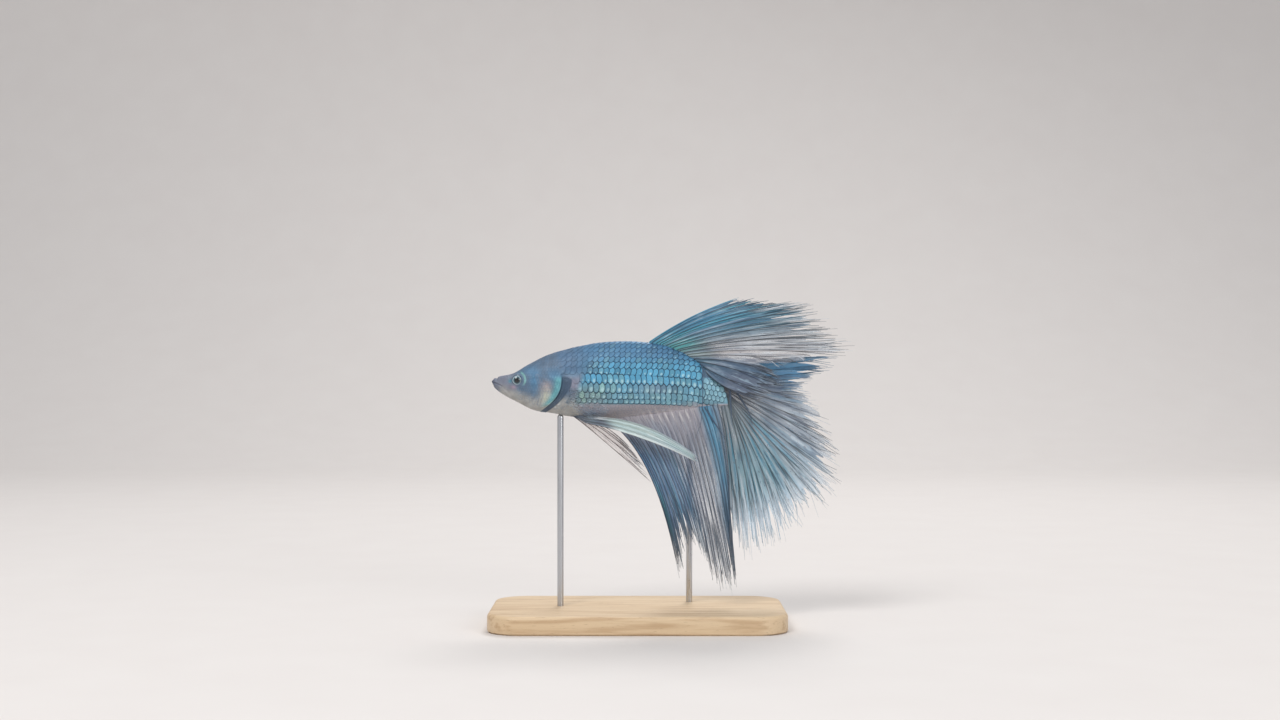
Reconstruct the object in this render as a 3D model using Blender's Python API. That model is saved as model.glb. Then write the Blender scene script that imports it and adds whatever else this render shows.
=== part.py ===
"""Betta fish (Betta splendens), a long-finned male, as a life-size still model on a display stand.

Metres, +Z up. The head points to -X and the left flank faces -Y. The origin is the centre of the
stand base's underside.

The fish is laid out in body units: one unit is the standard length, from the tip of the snout to
the end of the scaled tail stalk. u runs from snout to tail, w runs up from the level of the mouth,
and v runs to the fish's right. place() turns them into metres.
"""

import bpy
import bmesh
import math
from mathutils import Vector

# Driving dimensions, in metres
STANDARD_LENGTH = 0.045
GAP = 0.0003
FIN_BASE_THICKNESS = 0.0007
FIN_TIP_THICKNESS = 0.0005
RAY_BASE_WIDTH = 0.0007
RAY_TIP_WIDTH = 0.00045
GILL_COVER_THICKNESS = 0.0008
GILL_COVER_RISE = 0.00022
EYE_RADIUS = 0.00103
EYE_DEPTH = 0.00030
EYE_FLATTENING = 0.62
EYE_SOCKET_FLATTENING = 0.71
CUTTER_STANDOUT = 0.0006
BASE_LENGTH = 0.056
BASE_WIDTH = 0.030
BASE_THICKNESS = 0.0035
BASE_CORNER = 0.006
BASE_BEVEL = 0.0007
ROD_RADIUS = 0.0006
MOUTH_HEIGHT = 0.0465

# Places along and across the fish, in body units
STAND_CENTRE_U = 0.62
HEAD_END_U = 0.302
TRUNK_END_U = 0.885
TAIL_END_U = 1.004
EYE_U = 0.111
EYE_W = 0.005
GILL_COVER_FRONT_U = 0.190
GILL_COVER_TOP_W = 0.034
GILL_COVER_BOTTOM_W = -0.115
GILL_COVER_CORNER = 0.008
FRONT_ROD_U = 0.292
REAR_ROD_U = 0.842
REAR_ROD_W = -0.058
REAR_ROD_FOOT_V = 0.125
DORSAL_START_U = 0.660
DORSAL_END_U = 0.893
ANAL_START_U = 0.470
ANAL_END_U = 0.957

# Mesh density
BODY_SIDES = 28
GAP_U = GAP / STANDARD_LENGTH

# Outline of the body, as (u, w) stations
BACK = [(0.0, 0.004), (0.03, 0.019), (0.09, 0.033), (0.16, 0.072), (0.242, 0.113), (0.34, 0.142),
        (0.45, 0.163), (0.555, 0.170), (0.65, 0.166), (0.74, 0.150), (0.82, 0.117), (0.885, 0.076),
        (0.94, 0.034), (1.01, 0.004)]
BELLY = [(0.0, -0.008), (0.012, -0.030), (0.05, -0.059), (0.11, -0.091), (0.18, -0.125),
         (0.25, -0.137), (0.34, -0.154), (0.46, -0.162), (0.60, -0.153), (0.75, -0.136),
         (0.90, -0.112), (1.01, -0.104)]
# Half width of the body, and the level where it is widest
HALF_WIDTH = [(0.0, 0.013), (0.015, 0.024), (0.05, 0.037), (0.11, 0.053), (0.18, 0.067),
              (0.27, 0.077), (0.36, 0.078), (0.50, 0.070), (0.65, 0.057), (0.80, 0.041),
              (0.92, 0.026), (1.01, 0.012)]
WIDEST_LEVEL = [(0.0, -0.002), (0.05, -0.014), (0.12, -0.012), (0.25, -0.012), (0.45, -0.004),
                (0.70, 0.012), (0.88, -0.004), (1.01, -0.048)]
# How sharply each section closes above and below: 1 is an ellipse, more is a ridge, less is boxy
BACK_SHARPNESS = [(0.0, 0.8), (0.10, 0.75), (0.25, 0.85), (0.45, 1.0), (0.65, 1.15), (1.01, 1.1)]
BELLY_SHARPNESS = [(0.0, 0.9), (0.12, 1.05), (0.30, 0.95), (0.42, 1.15), (0.60, 1.75),
                   (0.90, 1.7), (1.01, 1.2)]


# ---------------------------------------------------------------- general helpers

def clear_scene():
    for old in list(bpy.data.objects):
        bpy.data.objects.remove(old, do_unlink=True)


def material(name, colour, roughness, metallic=0.0):
    made = bpy.data.materials.new(name)
    made.use_nodes = True
    shader = made.node_tree.nodes["Principled BSDF"]
    shader.inputs["Base Color"].default_value = (*colour, 1.0)
    shader.inputs["Roughness"].default_value = roughness
    shader.inputs["Metallic"].default_value = metallic
    made.diffuse_color = (*colour, 1.0)
    return made


def lerp(a, b, f):
    return a + (b - a) * f


def smooth(stations, x):
    """A smooth curve through (position, value) stations, held level past its two ends."""
    last = len(stations) - 1
    if x <= stations[0][0]:
        return stations[0][1]
    if x >= stations[last][0]:
        return stations[last][1]
    i = max(k for k in range(last) if stations[k][0] <= x)

    def slope(k):
        low = stations[max(k - 1, 0)]
        high = stations[min(k + 1, last)]
        return (high[1] - low[1]) / (high[0] - low[0])

    (x0, y0), (x1, y1) = stations[i], stations[i + 1]
    span = x1 - x0
    f = (x - x0) / span
    start = (2 * f**3 - 3 * f**2 + 1) * y0 + (f**3 - 2 * f**2 + f) * span * slope(i)
    return start + (3 * f**2 - 2 * f**3) * y1 + (f**3 - f**2) * span * slope(i + 1)


def place(u, v, w):
    """A point in body units, as metres in the part's frame."""
    x = (u - STAND_CENTRE_U) * STANDARD_LENGTH
    return Vector((x, v * STANDARD_LENGTH, MOUTH_HEIGHT + w * STANDARD_LENGTH))


def add_object(name, vertices, faces, look, smooth_angle=50.0):
    mesh = bpy.data.meshes.new(name)
    mesh.from_pydata([tuple(v) for v in vertices], [], faces)
    work = bmesh.new()
    work.from_mesh(mesh)
    bmesh.ops.recalc_face_normals(work, faces=work.faces)
    work.to_mesh(mesh)
    work.free()
    made = bpy.data.objects.new(name, mesh)
    bpy.context.scene.collection.objects.link(made)
    mesh.materials.append(look)
    mesh.shade_smooth()
    mesh.set_sharp_from_angle(angle=math.radians(smooth_angle))
    return made


def add_cutter(name, vertices, faces, look):
    cutter = add_object(name, vertices, faces, look)
    cutter.hide_render = True
    cutter.display_type = "WIRE"
    return cutter


def cut(target, cutter, operation="DIFFERENCE"):
    step = target.modifiers.new(cutter.name, "BOOLEAN")
    step.operation = operation
    step.solver = "EXACT"
    step.object = cutter


# ---------------------------------------------------------------- surface of the body

def body_point(u, angle):
    """The body's surface at u. angle is 0 on the left side, +90 degrees on the back."""
    level = smooth(WIDEST_LEVEL, u)
    up = math.sin(angle)
    reach = smooth(BACK, u) - level if up > 0 else level - smooth(BELLY, u)
    sharpness = smooth(BACK_SHARPNESS if up > 0 else BELLY_SHARPNESS, u)
    across = math.cos(angle)
    side = abs(across) ** sharpness * math.copysign(1.0, across)
    return (u, -smooth(HALF_WIDTH, u) * side, level + reach * up)


def gill_edge(w):
    """How far the rear edge of the gill cover lies ahead of its top, at level w."""
    drop = min(max(0.02 - w, 0.0), 0.16)
    return 12.4 * drop ** 2.57


def tail_edge(w):
    """How far the rounded end of the tail stalk lies ahead of its lowest point, at level w."""
    rise = min(max(w + 0.10, 0.0), 0.14)
    return 2.3 * rise ** 1.8


def ring(u, gill_share=0.0, tail_share=0.0):
    """One ring round the body, leaning with the gill opening or with the end of the tail stalk."""
    points = []
    for k in range(BODY_SIDES):
        angle = 2 * math.pi * (k + 0.5) / BODY_SIDES
        at = u
        for _ in range(8):
            w = body_point(at, angle)[2]
            at = u - gill_share * gill_edge(w) - tail_share * tail_edge(w)
        points.append(place(*body_point(at, angle)))
    return points


def flat_cap(count):
    return [tuple(range(count))]


def level_cap(count):
    """A cap of level strips, each joining the left side to the right, for an end that leans."""
    half = count // 2
    left = [(k - half // 2) % count for k in range(half)]
    right = [(half - 1 - k) % count for k in left]
    return [(left[a], left[a + 1], right[a + 1], right[a]) for a in range(half - 1)]


def loft(rings, cap=flat_cap):
    """Vertices and faces of a closed solid through the rings."""
    vertices = [p for one in rings for p in one]
    count = len(rings[0])
    faces = list(cap(count))
    for r in range(len(rings) - 1):
        for k in range(count):
            n = (k + 1) % count
            faces.append((r * count + k, r * count + n, (r + 1) * count + n, (r + 1) * count + k))
    first = (len(rings) - 1) * count
    faces += [tuple(first + k for k in face) for face in cap(count)]
    return vertices, faces


def angle_at(u, w):
    """The angle on the left side at which the surface at u reaches level w."""
    level = smooth(WIDEST_LEVEL, u)
    reach = smooth(BACK, u) - level if w > level else level - smooth(BELLY, u)
    return math.asin(min(max((w - level) / reach, -1.0), 1.0))


def flank_point(u, w, lift, side):
    """A point over the flank at (u, w), lifted straight across. side is -1 left and +1 right."""
    angle = angle_at(u, w)
    step = 0.004
    here = Vector(body_point(u, angle))
    along = Vector(body_point(u + step, angle)) - here
    around = Vector(body_point(u, angle + step)) - here
    normal = along.cross(around)
    normal.x = 0.0
    normal.normalize()
    if normal.y > 0:
        normal.negate()
    spot = place(*here) + normal * lift
    return Vector((spot.x, -side * spot.y, spot.z))


# ---------------------------------------------------------------- head, trunk and tail stalk

def make_head(look):
    front = [0.0, 0.008, 0.018, 0.032, 0.050, 0.072, 0.096, 0.120, 0.146, 0.172]
    rings = [ring(u) for u in front]
    steps = 5
    for k in range(1, steps + 1):
        share = k / steps
        rings.append(ring(lerp(front[-1], HEAD_END_U, share), gill_share=share ** 1.5))
    return add_object("head", *loft(rings, level_cap), look)


def make_trunk(look):
    start = HEAD_END_U + GAP_U
    stations = [start, 0.335, 0.37, 0.41, 0.455, 0.50, 0.55, 0.60, 0.65, 0.70, 0.745, 0.785,
                0.82, 0.853, TRUNK_END_U]
    rings = []
    for u in stations:
        share = max(0.0, 1.0 - (u - start) / (0.50 - start))
        rings.append(ring(u, gill_share=share))
    return add_object("trunk", *loft(rings, level_cap), look)


def make_tail_stalk(look):
    start = TRUNK_END_U + GAP_U
    count = 7
    rings = []
    for k in range(count):
        share = k / (count - 1)
        rings.append(ring(lerp(start, TAIL_END_U, share), tail_share=share ** 1.3))
    return add_object("tail_stalk", *loft(rings, level_cap), look)


def jaw_wedge(grow):
    """A prism over the lower jaw: below the mouth's cleft and ahead of the cheek."""
    outline = [(-0.03, 0.010), (0.0, -0.0035), (0.040, -0.019), (0.068, -0.036), (0.092, -0.062),
               (0.104, -0.12), (-0.03, -0.12)]
    centre = (0.02, -0.075)
    half = 0.08
    left = []
    for u, w in outline:
        away = Vector((u - centre[0], w - centre[1])).normalized() * grow
        left.append((u + away.x, w + away.y))
    vertices = [place(u, -half, w) for u, w in left] + [place(u, half, w) for u, w in left]
    count = len(left)
    faces = [tuple(range(count)), tuple(range(count, 2 * count))]
    for k in range(count):
        n = (k + 1) % count
        faces.append((k, n, count + n, count + k))
    return vertices, faces


def make_lower_jaw(head, look):
    jaw = head.copy()
    jaw.data = head.data.copy()
    jaw.name = "lower_jaw"
    jaw.data.name = "lower_jaw"
    jaw.data.materials.clear()
    jaw.data.materials.append(look)
    bpy.context.scene.collection.objects.link(jaw)
    cut(jaw, add_cutter("cut_jaw_keep", *jaw_wedge(0.0), look), "INTERSECT")
    cut(head, add_cutter("cut_jaw_clear", *jaw_wedge(GAP_U * 1.25), look))
    return jaw


# ---------------------------------------------------------------- gill covers and eyes

def gill_cover_shell(side, grow):
    """The bony plate over the gills: a leaf set into the head, with its rear edge a little proud.

    grow widens it all round, in body units, into the cutter that clears its place in the head.
    """
    across, up = 8, 9
    outer, inner = [], []
    lift = CUTTER_STANDOUT if grow else 0.0
    depth = GILL_COVER_THICKNESS + grow * STANDARD_LENGTH
    for j in range(up + 1):
        share = j / up
        w = lerp(GILL_COVER_BOTTOM_W - grow, GILL_COVER_TOP_W + grow, share)
        rounding = math.sqrt(max(0.0, 1.0 - abs(2 * share - 1.0) ** 2.6))
        rear = HEAD_END_U - gill_edge(w) - GILL_COVER_CORNER * (1.0 - rounding)
        front = lerp(rear - 2 * GILL_COVER_CORNER, GILL_COVER_FRONT_U, rounding)
        for i in range(across + 1):
            u = lerp(front - grow, rear + 3 * grow, i / across)
            outer.append(flank_point(u, w, GILL_COVER_RISE * i / across + lift, side))
            inner.append(flank_point(u, w, -depth, side))
    return slab_faces(outer, inner, across + 1, lambda i, j: True, up + 1)


def slab_faces(outer, inner, columns, present, rows):
    """Closed solid between two grids of points. present(i, j) says which cells are filled."""
    faces = []
    shift = len(outer)

    def index(i, j):
        return j * columns + i

    def filled(i, j):
        return 0 <= i < columns - 1 and 0 <= j < rows - 1 and present(i, j)

    for j in range(rows - 1):
        for i in range(columns - 1):
            if not filled(i, j):
                continue
            cell = (index(i, j), index(i + 1, j), index(i + 1, j + 1), index(i, j + 1))
            faces.append(cell)
            faces.append(tuple(c + shift for c in reversed(cell)))
            sides = [((i, j - 1), 0, 1), ((i + 1, j), 1, 2), ((i, j + 1), 2, 3), ((i - 1, j), 3, 0)]
            for other, a, b in sides:
                if not filled(*other):
                    faces.append((cell[b], cell[a], cell[a] + shift, cell[b] + shift))
    used = sorted({k for face in faces for k in face})
    renumber = {old: new for new, old in enumerate(used)}
    points = list(outer) + list(inner)
    return [points[k] for k in used], [tuple(renumber[k] for k in face) for face in faces]


def make_gill_cover(head, side, label, look):
    plate = add_object("gill_cover_" + label, *gill_cover_shell(side, 0.0), look)
    cut(head, add_cutter("cut_gill_" + label, *gill_cover_shell(side, GAP_U), look))
    return plate


def ball(centre, radius, flatten):
    """A faceted eyeball, flattened a little along Y."""
    work = bmesh.new()
    bmesh.ops.create_icosphere(work, subdivisions=2, radius=radius)
    for vertex in work.verts:
        vertex.co.y *= flatten
        vertex.co += centre
    work.verts.index_update()
    vertices = [v.co.copy() for v in work.verts]
    faces = [tuple(v.index for v in face.verts) for face in work.faces]
    work.free()
    return vertices, faces


def make_eye(head, side, label, look):
    centre = flank_point(EYE_U, EYE_W, -EYE_DEPTH, side)
    eye = add_object("eye_" + label, *ball(centre, EYE_RADIUS, EYE_FLATTENING), look)
    cut(head, add_cutter("cut_eye_" + label, *ball(centre, EYE_RADIUS + GAP, EYE_SOCKET_FLATTENING), look))
    return eye


# ---------------------------------------------------------------- fins

def bezier(a, b, c, s):
    return a * (1 - s) ** 2 + b * 2 * s * (1 - s) + c * s**2


def key_ray(keys, t, part):
    """The bend (part 1) or the tip (part 2) of the ray at t, between the fin's key rays."""
    along = [(key[0], key[part][0]) for key in keys]
    upward = [(key[0], key[part][1]) for key in keys]
    return smooth(along, t), smooth(upward, t)


def fan_surface(base, keys, sway):
    """A fin as a function of t along its base and s along its rays. sway gives v off the base."""
    def surface(t, s):
        root = base(t)
        bend_u, bend_w = key_ray(keys, t, 1)
        tip_u, tip_w = key_ray(keys, t, 2)
        start = Vector((root[0], root[2]))
        flat = bezier(start, Vector((bend_u, bend_w)), Vector((tip_u, tip_w)), s)
        return place(flat.x, root[1] + sway(t, s), flat.y)
    return surface


def fin_normal(surface, t, s):
    step = 0.01
    along = surface(min(t + step, 1.0), s) - surface(max(t - step, 0.0), s)
    outward = surface(t, min(s + step, 1.0)) - surface(t, max(s - step, 0.0))
    return along.cross(outward).normalized()


def ray_columns(surface, rays, s):
    """Values of t on the two sides of every ray, at s."""
    pitch = 1.0 / (rays - 1)
    columns = []
    for k in range(rays):
        t = k * pitch
        spread = (surface(min(t + 0.01, 1.0), s) - surface(max(t - 0.01, 0.0), s)).length
        speed = spread / (min(t + 0.01, 1.0) - max(t - 0.01, 0.0))
        width = lerp(RAY_BASE_WIDTH, RAY_TIP_WIDTH, s**3)
        half = min(0.24 * pitch, 0.5 * width / speed)
        middle = min(max(t, half), 1.0 - half)
        columns += [middle - half, middle + half]
    return columns


def fin_solid(surface, rays, rows, web_rows, web_end, fray):
    """A fin: rays joined by a web that stops short of their tips.

    web_end is how far along the rays the web reaches, and fray shortens rays unevenly.
    """
    outer, inner = [], []
    for j in range(rows + 1):
        for side in range(2 * rays):
            k = side // 2
            tip = 1.0 - fray * (0.5 + 0.5 * math.sin(2.4 * k + 1.3 * math.sin(1.7 * k)))
            web = web_end + 0.05 * math.sin(1.9 * k + 0.7)
            if j <= web_rows:
                s = web * j / web_rows
            else:
                s = lerp(web, tip, (j - web_rows) / (rows - web_rows))
            t = ray_columns(surface, rays, s)[side]
            thick = lerp(FIN_BASE_THICKNESS, FIN_TIP_THICKNESS, s)
            middle = surface(t, s)
            normal = fin_normal(surface, t, s)
            outer.append(middle + normal * thick / 2)
            inner.append(middle - normal * thick / 2)

    def present(i, j):
        return i % 2 == 0 or j < web_rows

    return slab_faces(outer, inner, 2 * rays, present, rows + 1)


def wave(t, s, turns, lean, phase, height):
    return height * s**1.3 * math.sin(2 * math.pi * (turns * t + lean * s) + phase)


def make_dorsal_fin(look):
    # (t, bend, tip) of the key rays, from the leading edge to the trailing edge
    keys = [(0.0, (0.830, 0.280), (1.036, 0.350)), (0.12, (0.890, 0.288), (1.204, 0.340)),
            (0.30, (0.936, 0.251), (1.362, 0.308)), (0.50, (0.991, 0.196), (1.443, 0.212)),
            (0.70, (1.055, 0.140), (1.485, 0.115)), (0.78, (1.050, 0.108), (1.215, 0.052)),
            (0.86, (1.040, 0.081), (1.240, -0.010)), (1.0, (1.030, -0.020), (1.190, -0.050))]

    def base(t):
        u = lerp(DORSAL_START_U, DORSAL_END_U, t)
        return (u, 0.0, smooth(BACK, u) + 1.3 * GAP_U)

    def sway(t, s):
        return -0.095 * t**2 * s**0.9 + wave(t, s, 1.9, 0.35, 0.4, 0.026)

    surface = fan_surface(base, keys, sway)
    return add_object("dorsal_fin", *fin_solid(surface, 16, 8, 6, 0.82, 0.10), look)


def make_caudal_fin(look):
    # (t, bend, tip) of the key rays, from the top of the tail round to its front lower edge
    keys = [(0.0, (1.130, 0.110), (1.462, 0.104)), (0.07, (1.160, 0.050), (1.430, 0.046)),
            (0.15, (1.164, -0.020), (1.360, -0.026)), (0.26, (1.183, -0.081), (1.430, -0.170)),
            (0.38, (1.204, -0.166), (1.472, -0.328)), (0.50, (1.204, -0.251), (1.464, -0.464)),
            (0.63, (1.183, -0.294), (1.336, -0.613)), (0.76, (1.125, -0.315), (1.196, -0.698)),
            (0.88, (1.062, -0.310), (1.106, -0.745)), (1.0, (1.004, -0.270), (1.030, -0.705))]

    def base(t):
        w = lerp(0.012, -0.100, t)
        return (TAIL_END_U - tail_edge(w) + 1.4 * GAP_U, 0.0, w)

    def sway(t, s):
        away = 0.060 * s**0.8 + 0.030 * s * (1.0 - t)
        return away + wave(t, s, 2.3, 0.30, 2.6, 0.034)

    surface = fan_surface(base, keys, sway)
    return add_object("caudal_fin", *fin_solid(surface, 21, 8, 6, 0.80, 0.12), look)


def make_anal_fin(look):
    # (t, bend, tip) of the key rays, from the leading edge to the trailing edge
    keys = [(0.0, (0.689, -0.270), (0.792, -0.806)), (0.11, (0.722, -0.320), (0.806, -0.795)),
            (0.24, (0.760, -0.370), (0.832, -0.690)), (0.42, (0.826, -0.421), (0.895, -0.725)),
            (0.60, (0.885, -0.421), (0.950, -0.850)), (0.76, (0.936, -0.421), (1.015, -0.877)),
            (0.88, (0.985, -0.294), (1.035, -0.821)), (1.0, (1.015, -0.250), (1.010, -0.711))]

    def base(t):
        u = lerp(ANAL_START_U, ANAL_END_U, t)
        return (u, 0.0, smooth(BELLY, u) - 1.4 * GAP_U)

    def sway(t, s):
        away = -0.050 * t**3 * s**0.7
        return away + wave(t, s, 1.8, 0.30, 0.3, 0.022) * (1.0 - 0.5 * t)

    surface = fan_surface(base, keys, sway)
    return add_object("anal_fin", *fin_solid(surface, 18, 8, 6, 0.80, 0.10), look)


def make_left_pelvic_fin(look):
    """The near pelvic fin, a narrow blade trailed back and down."""
    root = Vector((0.352, -0.163))
    bend = Vector((0.620, -0.165))
    tip = Vector((0.864, -0.326))

    def surface(t, s):
        middle = bezier(root, bend, tip, s)
        heading = (bezier(root, bend, tip, min(s + 0.01, 1.0)) - bezier(root, bend, tip, s - 0.01))
        across = Vector((-heading.y, heading.x)).normalized()
        half = 0.008 + 0.019 * math.sin(math.pi * min(s * 0.94, 1.0)) ** 1.4
        spot = middle + across * half * (1 - 2 * t)
        out = -0.022 - 0.075 * s**0.8
        return place(spot.x, out + 0.010 * (t - 0.5), spot.y)

    return add_object("pelvic_fin_left", *fin_solid(surface, 4, 9, 7, 0.84, 0.05), look)


def make_right_pelvic_fin(look):
    """The far pelvic fin, hanging lower and spread a little."""
    keys = [(0.0, (0.455, -0.235), (0.698, -0.455)), (0.5, (0.490, -0.205), (0.640, -0.360)),
            (1.0, (0.505, -0.190), (0.596, -0.300))]

    def base(t):
        u = lerp(0.345, 0.385, t)
        return (u, 0.022, smooth(BELLY, u) - 1.9 * GAP_U)

    def sway(t, s):
        return 0.075 * s**0.8 + 0.012 * (t - 0.5) * s

    surface = fan_surface(base, keys, sway)
    return add_object("pelvic_fin_right", *fin_solid(surface, 4, 8, 6, 0.78, 0.06), look)


def make_pectoral_fin(side, label, look):
    """A small rounded fan behind the gill cover, swept back and held off the flank."""
    keys = [(0.0, (0.395, -0.018), (0.462, -0.060)), (0.35, (0.415, -0.050), (0.502, -0.108)),
            (0.7, (0.410, -0.090), (0.496, -0.152)), (1.0, (0.380, -0.125), (0.440, -0.172))]

    def base(t):
        w = lerp(-0.030, -0.088, t)
        u = HEAD_END_U - gill_edge(w) + lerp(0.036, 0.048, t)
        rim = flank_point(u, w, GAP + 0.6 * FIN_BASE_THICKNESS, side)
        return (u, rim.y / STANDARD_LENGTH, w)

    def sway(t, s):
        return side * (0.052 * s**0.9 + 0.010 * s * math.sin(math.pi * t))

    surface = fan_surface(base, keys, sway)
    return add_object("pectoral_fin_" + label, *fin_solid(surface, 6, 6, 5, 0.92, 0.04), look)


# ---------------------------------------------------------------- display stand

def rounded_outline(length, width, corner, arc_steps):
    points = []
    centres = [(1, 1), (-1, 1), (-1, -1), (1, -1)]
    for quarter, (sx, sy) in enumerate(centres):
        middle = (sx * (length / 2 - corner), sy * (width / 2 - corner))
        for k in range(arc_steps + 1):
            angle = math.pi / 2 * (quarter + k / arc_steps)
            points.append((middle[0] + corner * math.cos(angle), middle[1] + corner * math.sin(angle)))
    return points


def make_stand_base(look):
    outline = rounded_outline(BASE_LENGTH, BASE_WIDTH, BASE_CORNER, 6)
    rings = []
    for z, inset in [(0.0, 0.0003), (0.0003, 0.0), (BASE_THICKNESS - BASE_BEVEL, 0.0),
                     (BASE_THICKNESS - 0.3 * BASE_BEVEL, 0.3 * BASE_BEVEL),
                     (BASE_THICKNESS, BASE_BEVEL)]:
        sx = 1.0 - 2 * inset / BASE_LENGTH
        sy = 1.0 - 2 * inset / BASE_WIDTH
        rings.append([Vector((x * sx, y * sy, z)) for x, y in outline])
    return add_object("stand_base", *loft(rings), look, 30.0)


def rod(name, foot, head, look):
    """A round rod from foot to head, with a rounded head."""
    sides = 14
    axis = (head - foot).normalized()
    across = axis.cross(Vector((0, 1, 0)) if abs(axis.x) > 0.5 else Vector((1, 0, 0))).normalized()
    other = axis.cross(across)
    rings = []
    steps = [(foot, 1.0), (head, 1.0)]
    for k in range(1, 4):
        tilt = k * math.pi / 7
        steps.append((head + axis * ROD_RADIUS * math.sin(tilt), math.cos(tilt)))
    for centre, share in steps:
        one = []
        for k in range(sides):
            angle = 2 * math.pi * k / sides
            radius = ROD_RADIUS * share
            point = centre + across * radius * math.cos(angle) + other * radius * math.sin(angle)
            one.append(point)
        rings.append(one)
    for point in rings[0]:
        point.z = foot.z
    return add_object(name, *loft(rings), look, 40.0)


def make_stand_rods(look):
    floor = BASE_THICKNESS + GAP
    belly = place(FRONT_ROD_U, 0.0, smooth(BELLY, FRONT_ROD_U))
    front_head = Vector((belly.x, 0.0, belly.z - ROD_RADIUS - 1.3 * GAP))
    rod("stand_rod_front", Vector((belly.x, 0.0, floor)), front_head, look)
    rear_head = flank_point(REAR_ROD_U, REAR_ROD_W, ROD_RADIUS + GAP, 1)
    foot = Vector((rear_head.x, REAR_ROD_FOOT_V * STANDARD_LENGTH, floor))
    rod("stand_rod_rear", foot, rear_head, look)


# ---------------------------------------------------------------- the whole model

def build():
    clear_scene()
    back = material("scaled_skin", (0.06, 0.28, 0.42), 0.35, 0.2)
    face = material("face_skin", (0.13, 0.17, 0.22), 0.4)
    cover = material("gill_cover_skin", (0.10, 0.30, 0.36), 0.35, 0.2)
    web = material("fin_web", (0.05, 0.18, 0.30), 0.45)
    pale = material("pale_fin", (0.55, 0.70, 0.68), 0.4)
    clear = material("clear_fin", (0.45, 0.48, 0.50), 0.4)
    eyeball = material("eyeball", (0.02, 0.04, 0.06), 0.08)
    wood = material("stand_wood", (0.55, 0.42, 0.28), 0.5)
    steel = material("stand_steel", (0.60, 0.60, 0.60), 0.3, 1.0)

    head = make_head(face)
    make_lower_jaw(head, face)
    for side, label in [(-1, "left"), (1, "right")]:
        make_gill_cover(head, side, label, cover)
        make_eye(head, side, label, eyeball)
        make_pectoral_fin(side, label, clear)
    make_trunk(back)
    make_tail_stalk(back)
    make_dorsal_fin(web)
    make_caudal_fin(web)
    make_anal_fin(web)
    make_left_pelvic_fin(pale)
    make_right_pelvic_fin(pale)
    make_stand_base(wood)
    make_stand_rods(steel)


build()
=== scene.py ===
import math

import bpy
import numpy as np
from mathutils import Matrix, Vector


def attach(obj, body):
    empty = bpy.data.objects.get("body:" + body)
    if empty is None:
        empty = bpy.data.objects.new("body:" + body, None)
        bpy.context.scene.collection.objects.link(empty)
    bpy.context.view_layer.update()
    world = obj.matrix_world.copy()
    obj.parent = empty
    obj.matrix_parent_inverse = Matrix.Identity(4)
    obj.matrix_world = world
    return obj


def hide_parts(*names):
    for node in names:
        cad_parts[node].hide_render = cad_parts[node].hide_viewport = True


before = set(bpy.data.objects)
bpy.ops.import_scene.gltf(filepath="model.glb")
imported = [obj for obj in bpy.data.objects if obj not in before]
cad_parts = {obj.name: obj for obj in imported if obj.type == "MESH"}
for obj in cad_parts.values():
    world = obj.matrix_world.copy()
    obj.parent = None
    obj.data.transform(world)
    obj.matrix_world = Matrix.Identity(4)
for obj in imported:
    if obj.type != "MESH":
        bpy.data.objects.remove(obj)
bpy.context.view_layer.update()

# ---------------------------------------------------------------- driving dimensions
# Body units: u from the snout (0) to the end of the tail stalk (1), w up from the mouth,
# v to the fish's right. One unit is the standard length.

STANDARD_LENGTH = 0.045
MOUTH_HEIGHT = 0.0465
STAND_CENTRE_U = 0.62
SIDES = [(-1, "left"), (1, "right")]
GAP = 0.0003
GAP_U = GAP / STANDARD_LENGTH

HEAD_END_U = 0.302
TRUNK_END_U = 0.885
TAIL_END_U = 1.004
GILL_COVER_TOP_W = 0.034
GILL_COVER_BOTTOM_W = -0.115
GILL_COVER_CORNER = 0.008
GILL_COVER_RISE = 0.00022
MEMBRANE_WIDTH = 0.044
MEMBRANE_TOP_W = 0.026
EYE_U = 0.111
EYE_W = 0.005
EYE_RADIUS = 0.00103
EYE_DEPTH = 0.0003
EYE_FLATTENING = 0.62
CORNEA_RISE = 0.05
DORSAL_START_U = 0.66
DORSAL_END_U = 0.893
ANAL_START_U = 0.47
ANAL_END_U = 0.957
FRONT_ROD_U = 0.292
REAR_ROD_U = 0.842
REAR_ROD_W = -0.058
REAR_ROD_FOOT_V = 0.125
ROD_RADIUS = 0.0006
BASE_LENGTH = 0.056
BASE_WIDTH = 0.03
BASE_THICKNESS = 0.0035
BASE_CORNER = 0.006
BASE_BEVEL = 0.0007
FOOT_CHAMFER = 0.0003
FRONT_ROD_SUNK = 0.0012
REAR_ROD_SUNK = 0.0015

COAT_DEPTH = 0.00009
HEAD_COAT_DEPTH = 0.00003
PLATE_THICKNESS = 0.00002
WEB_THICKNESS = 0.00006
SCALE_LINE_W = -0.094

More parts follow.
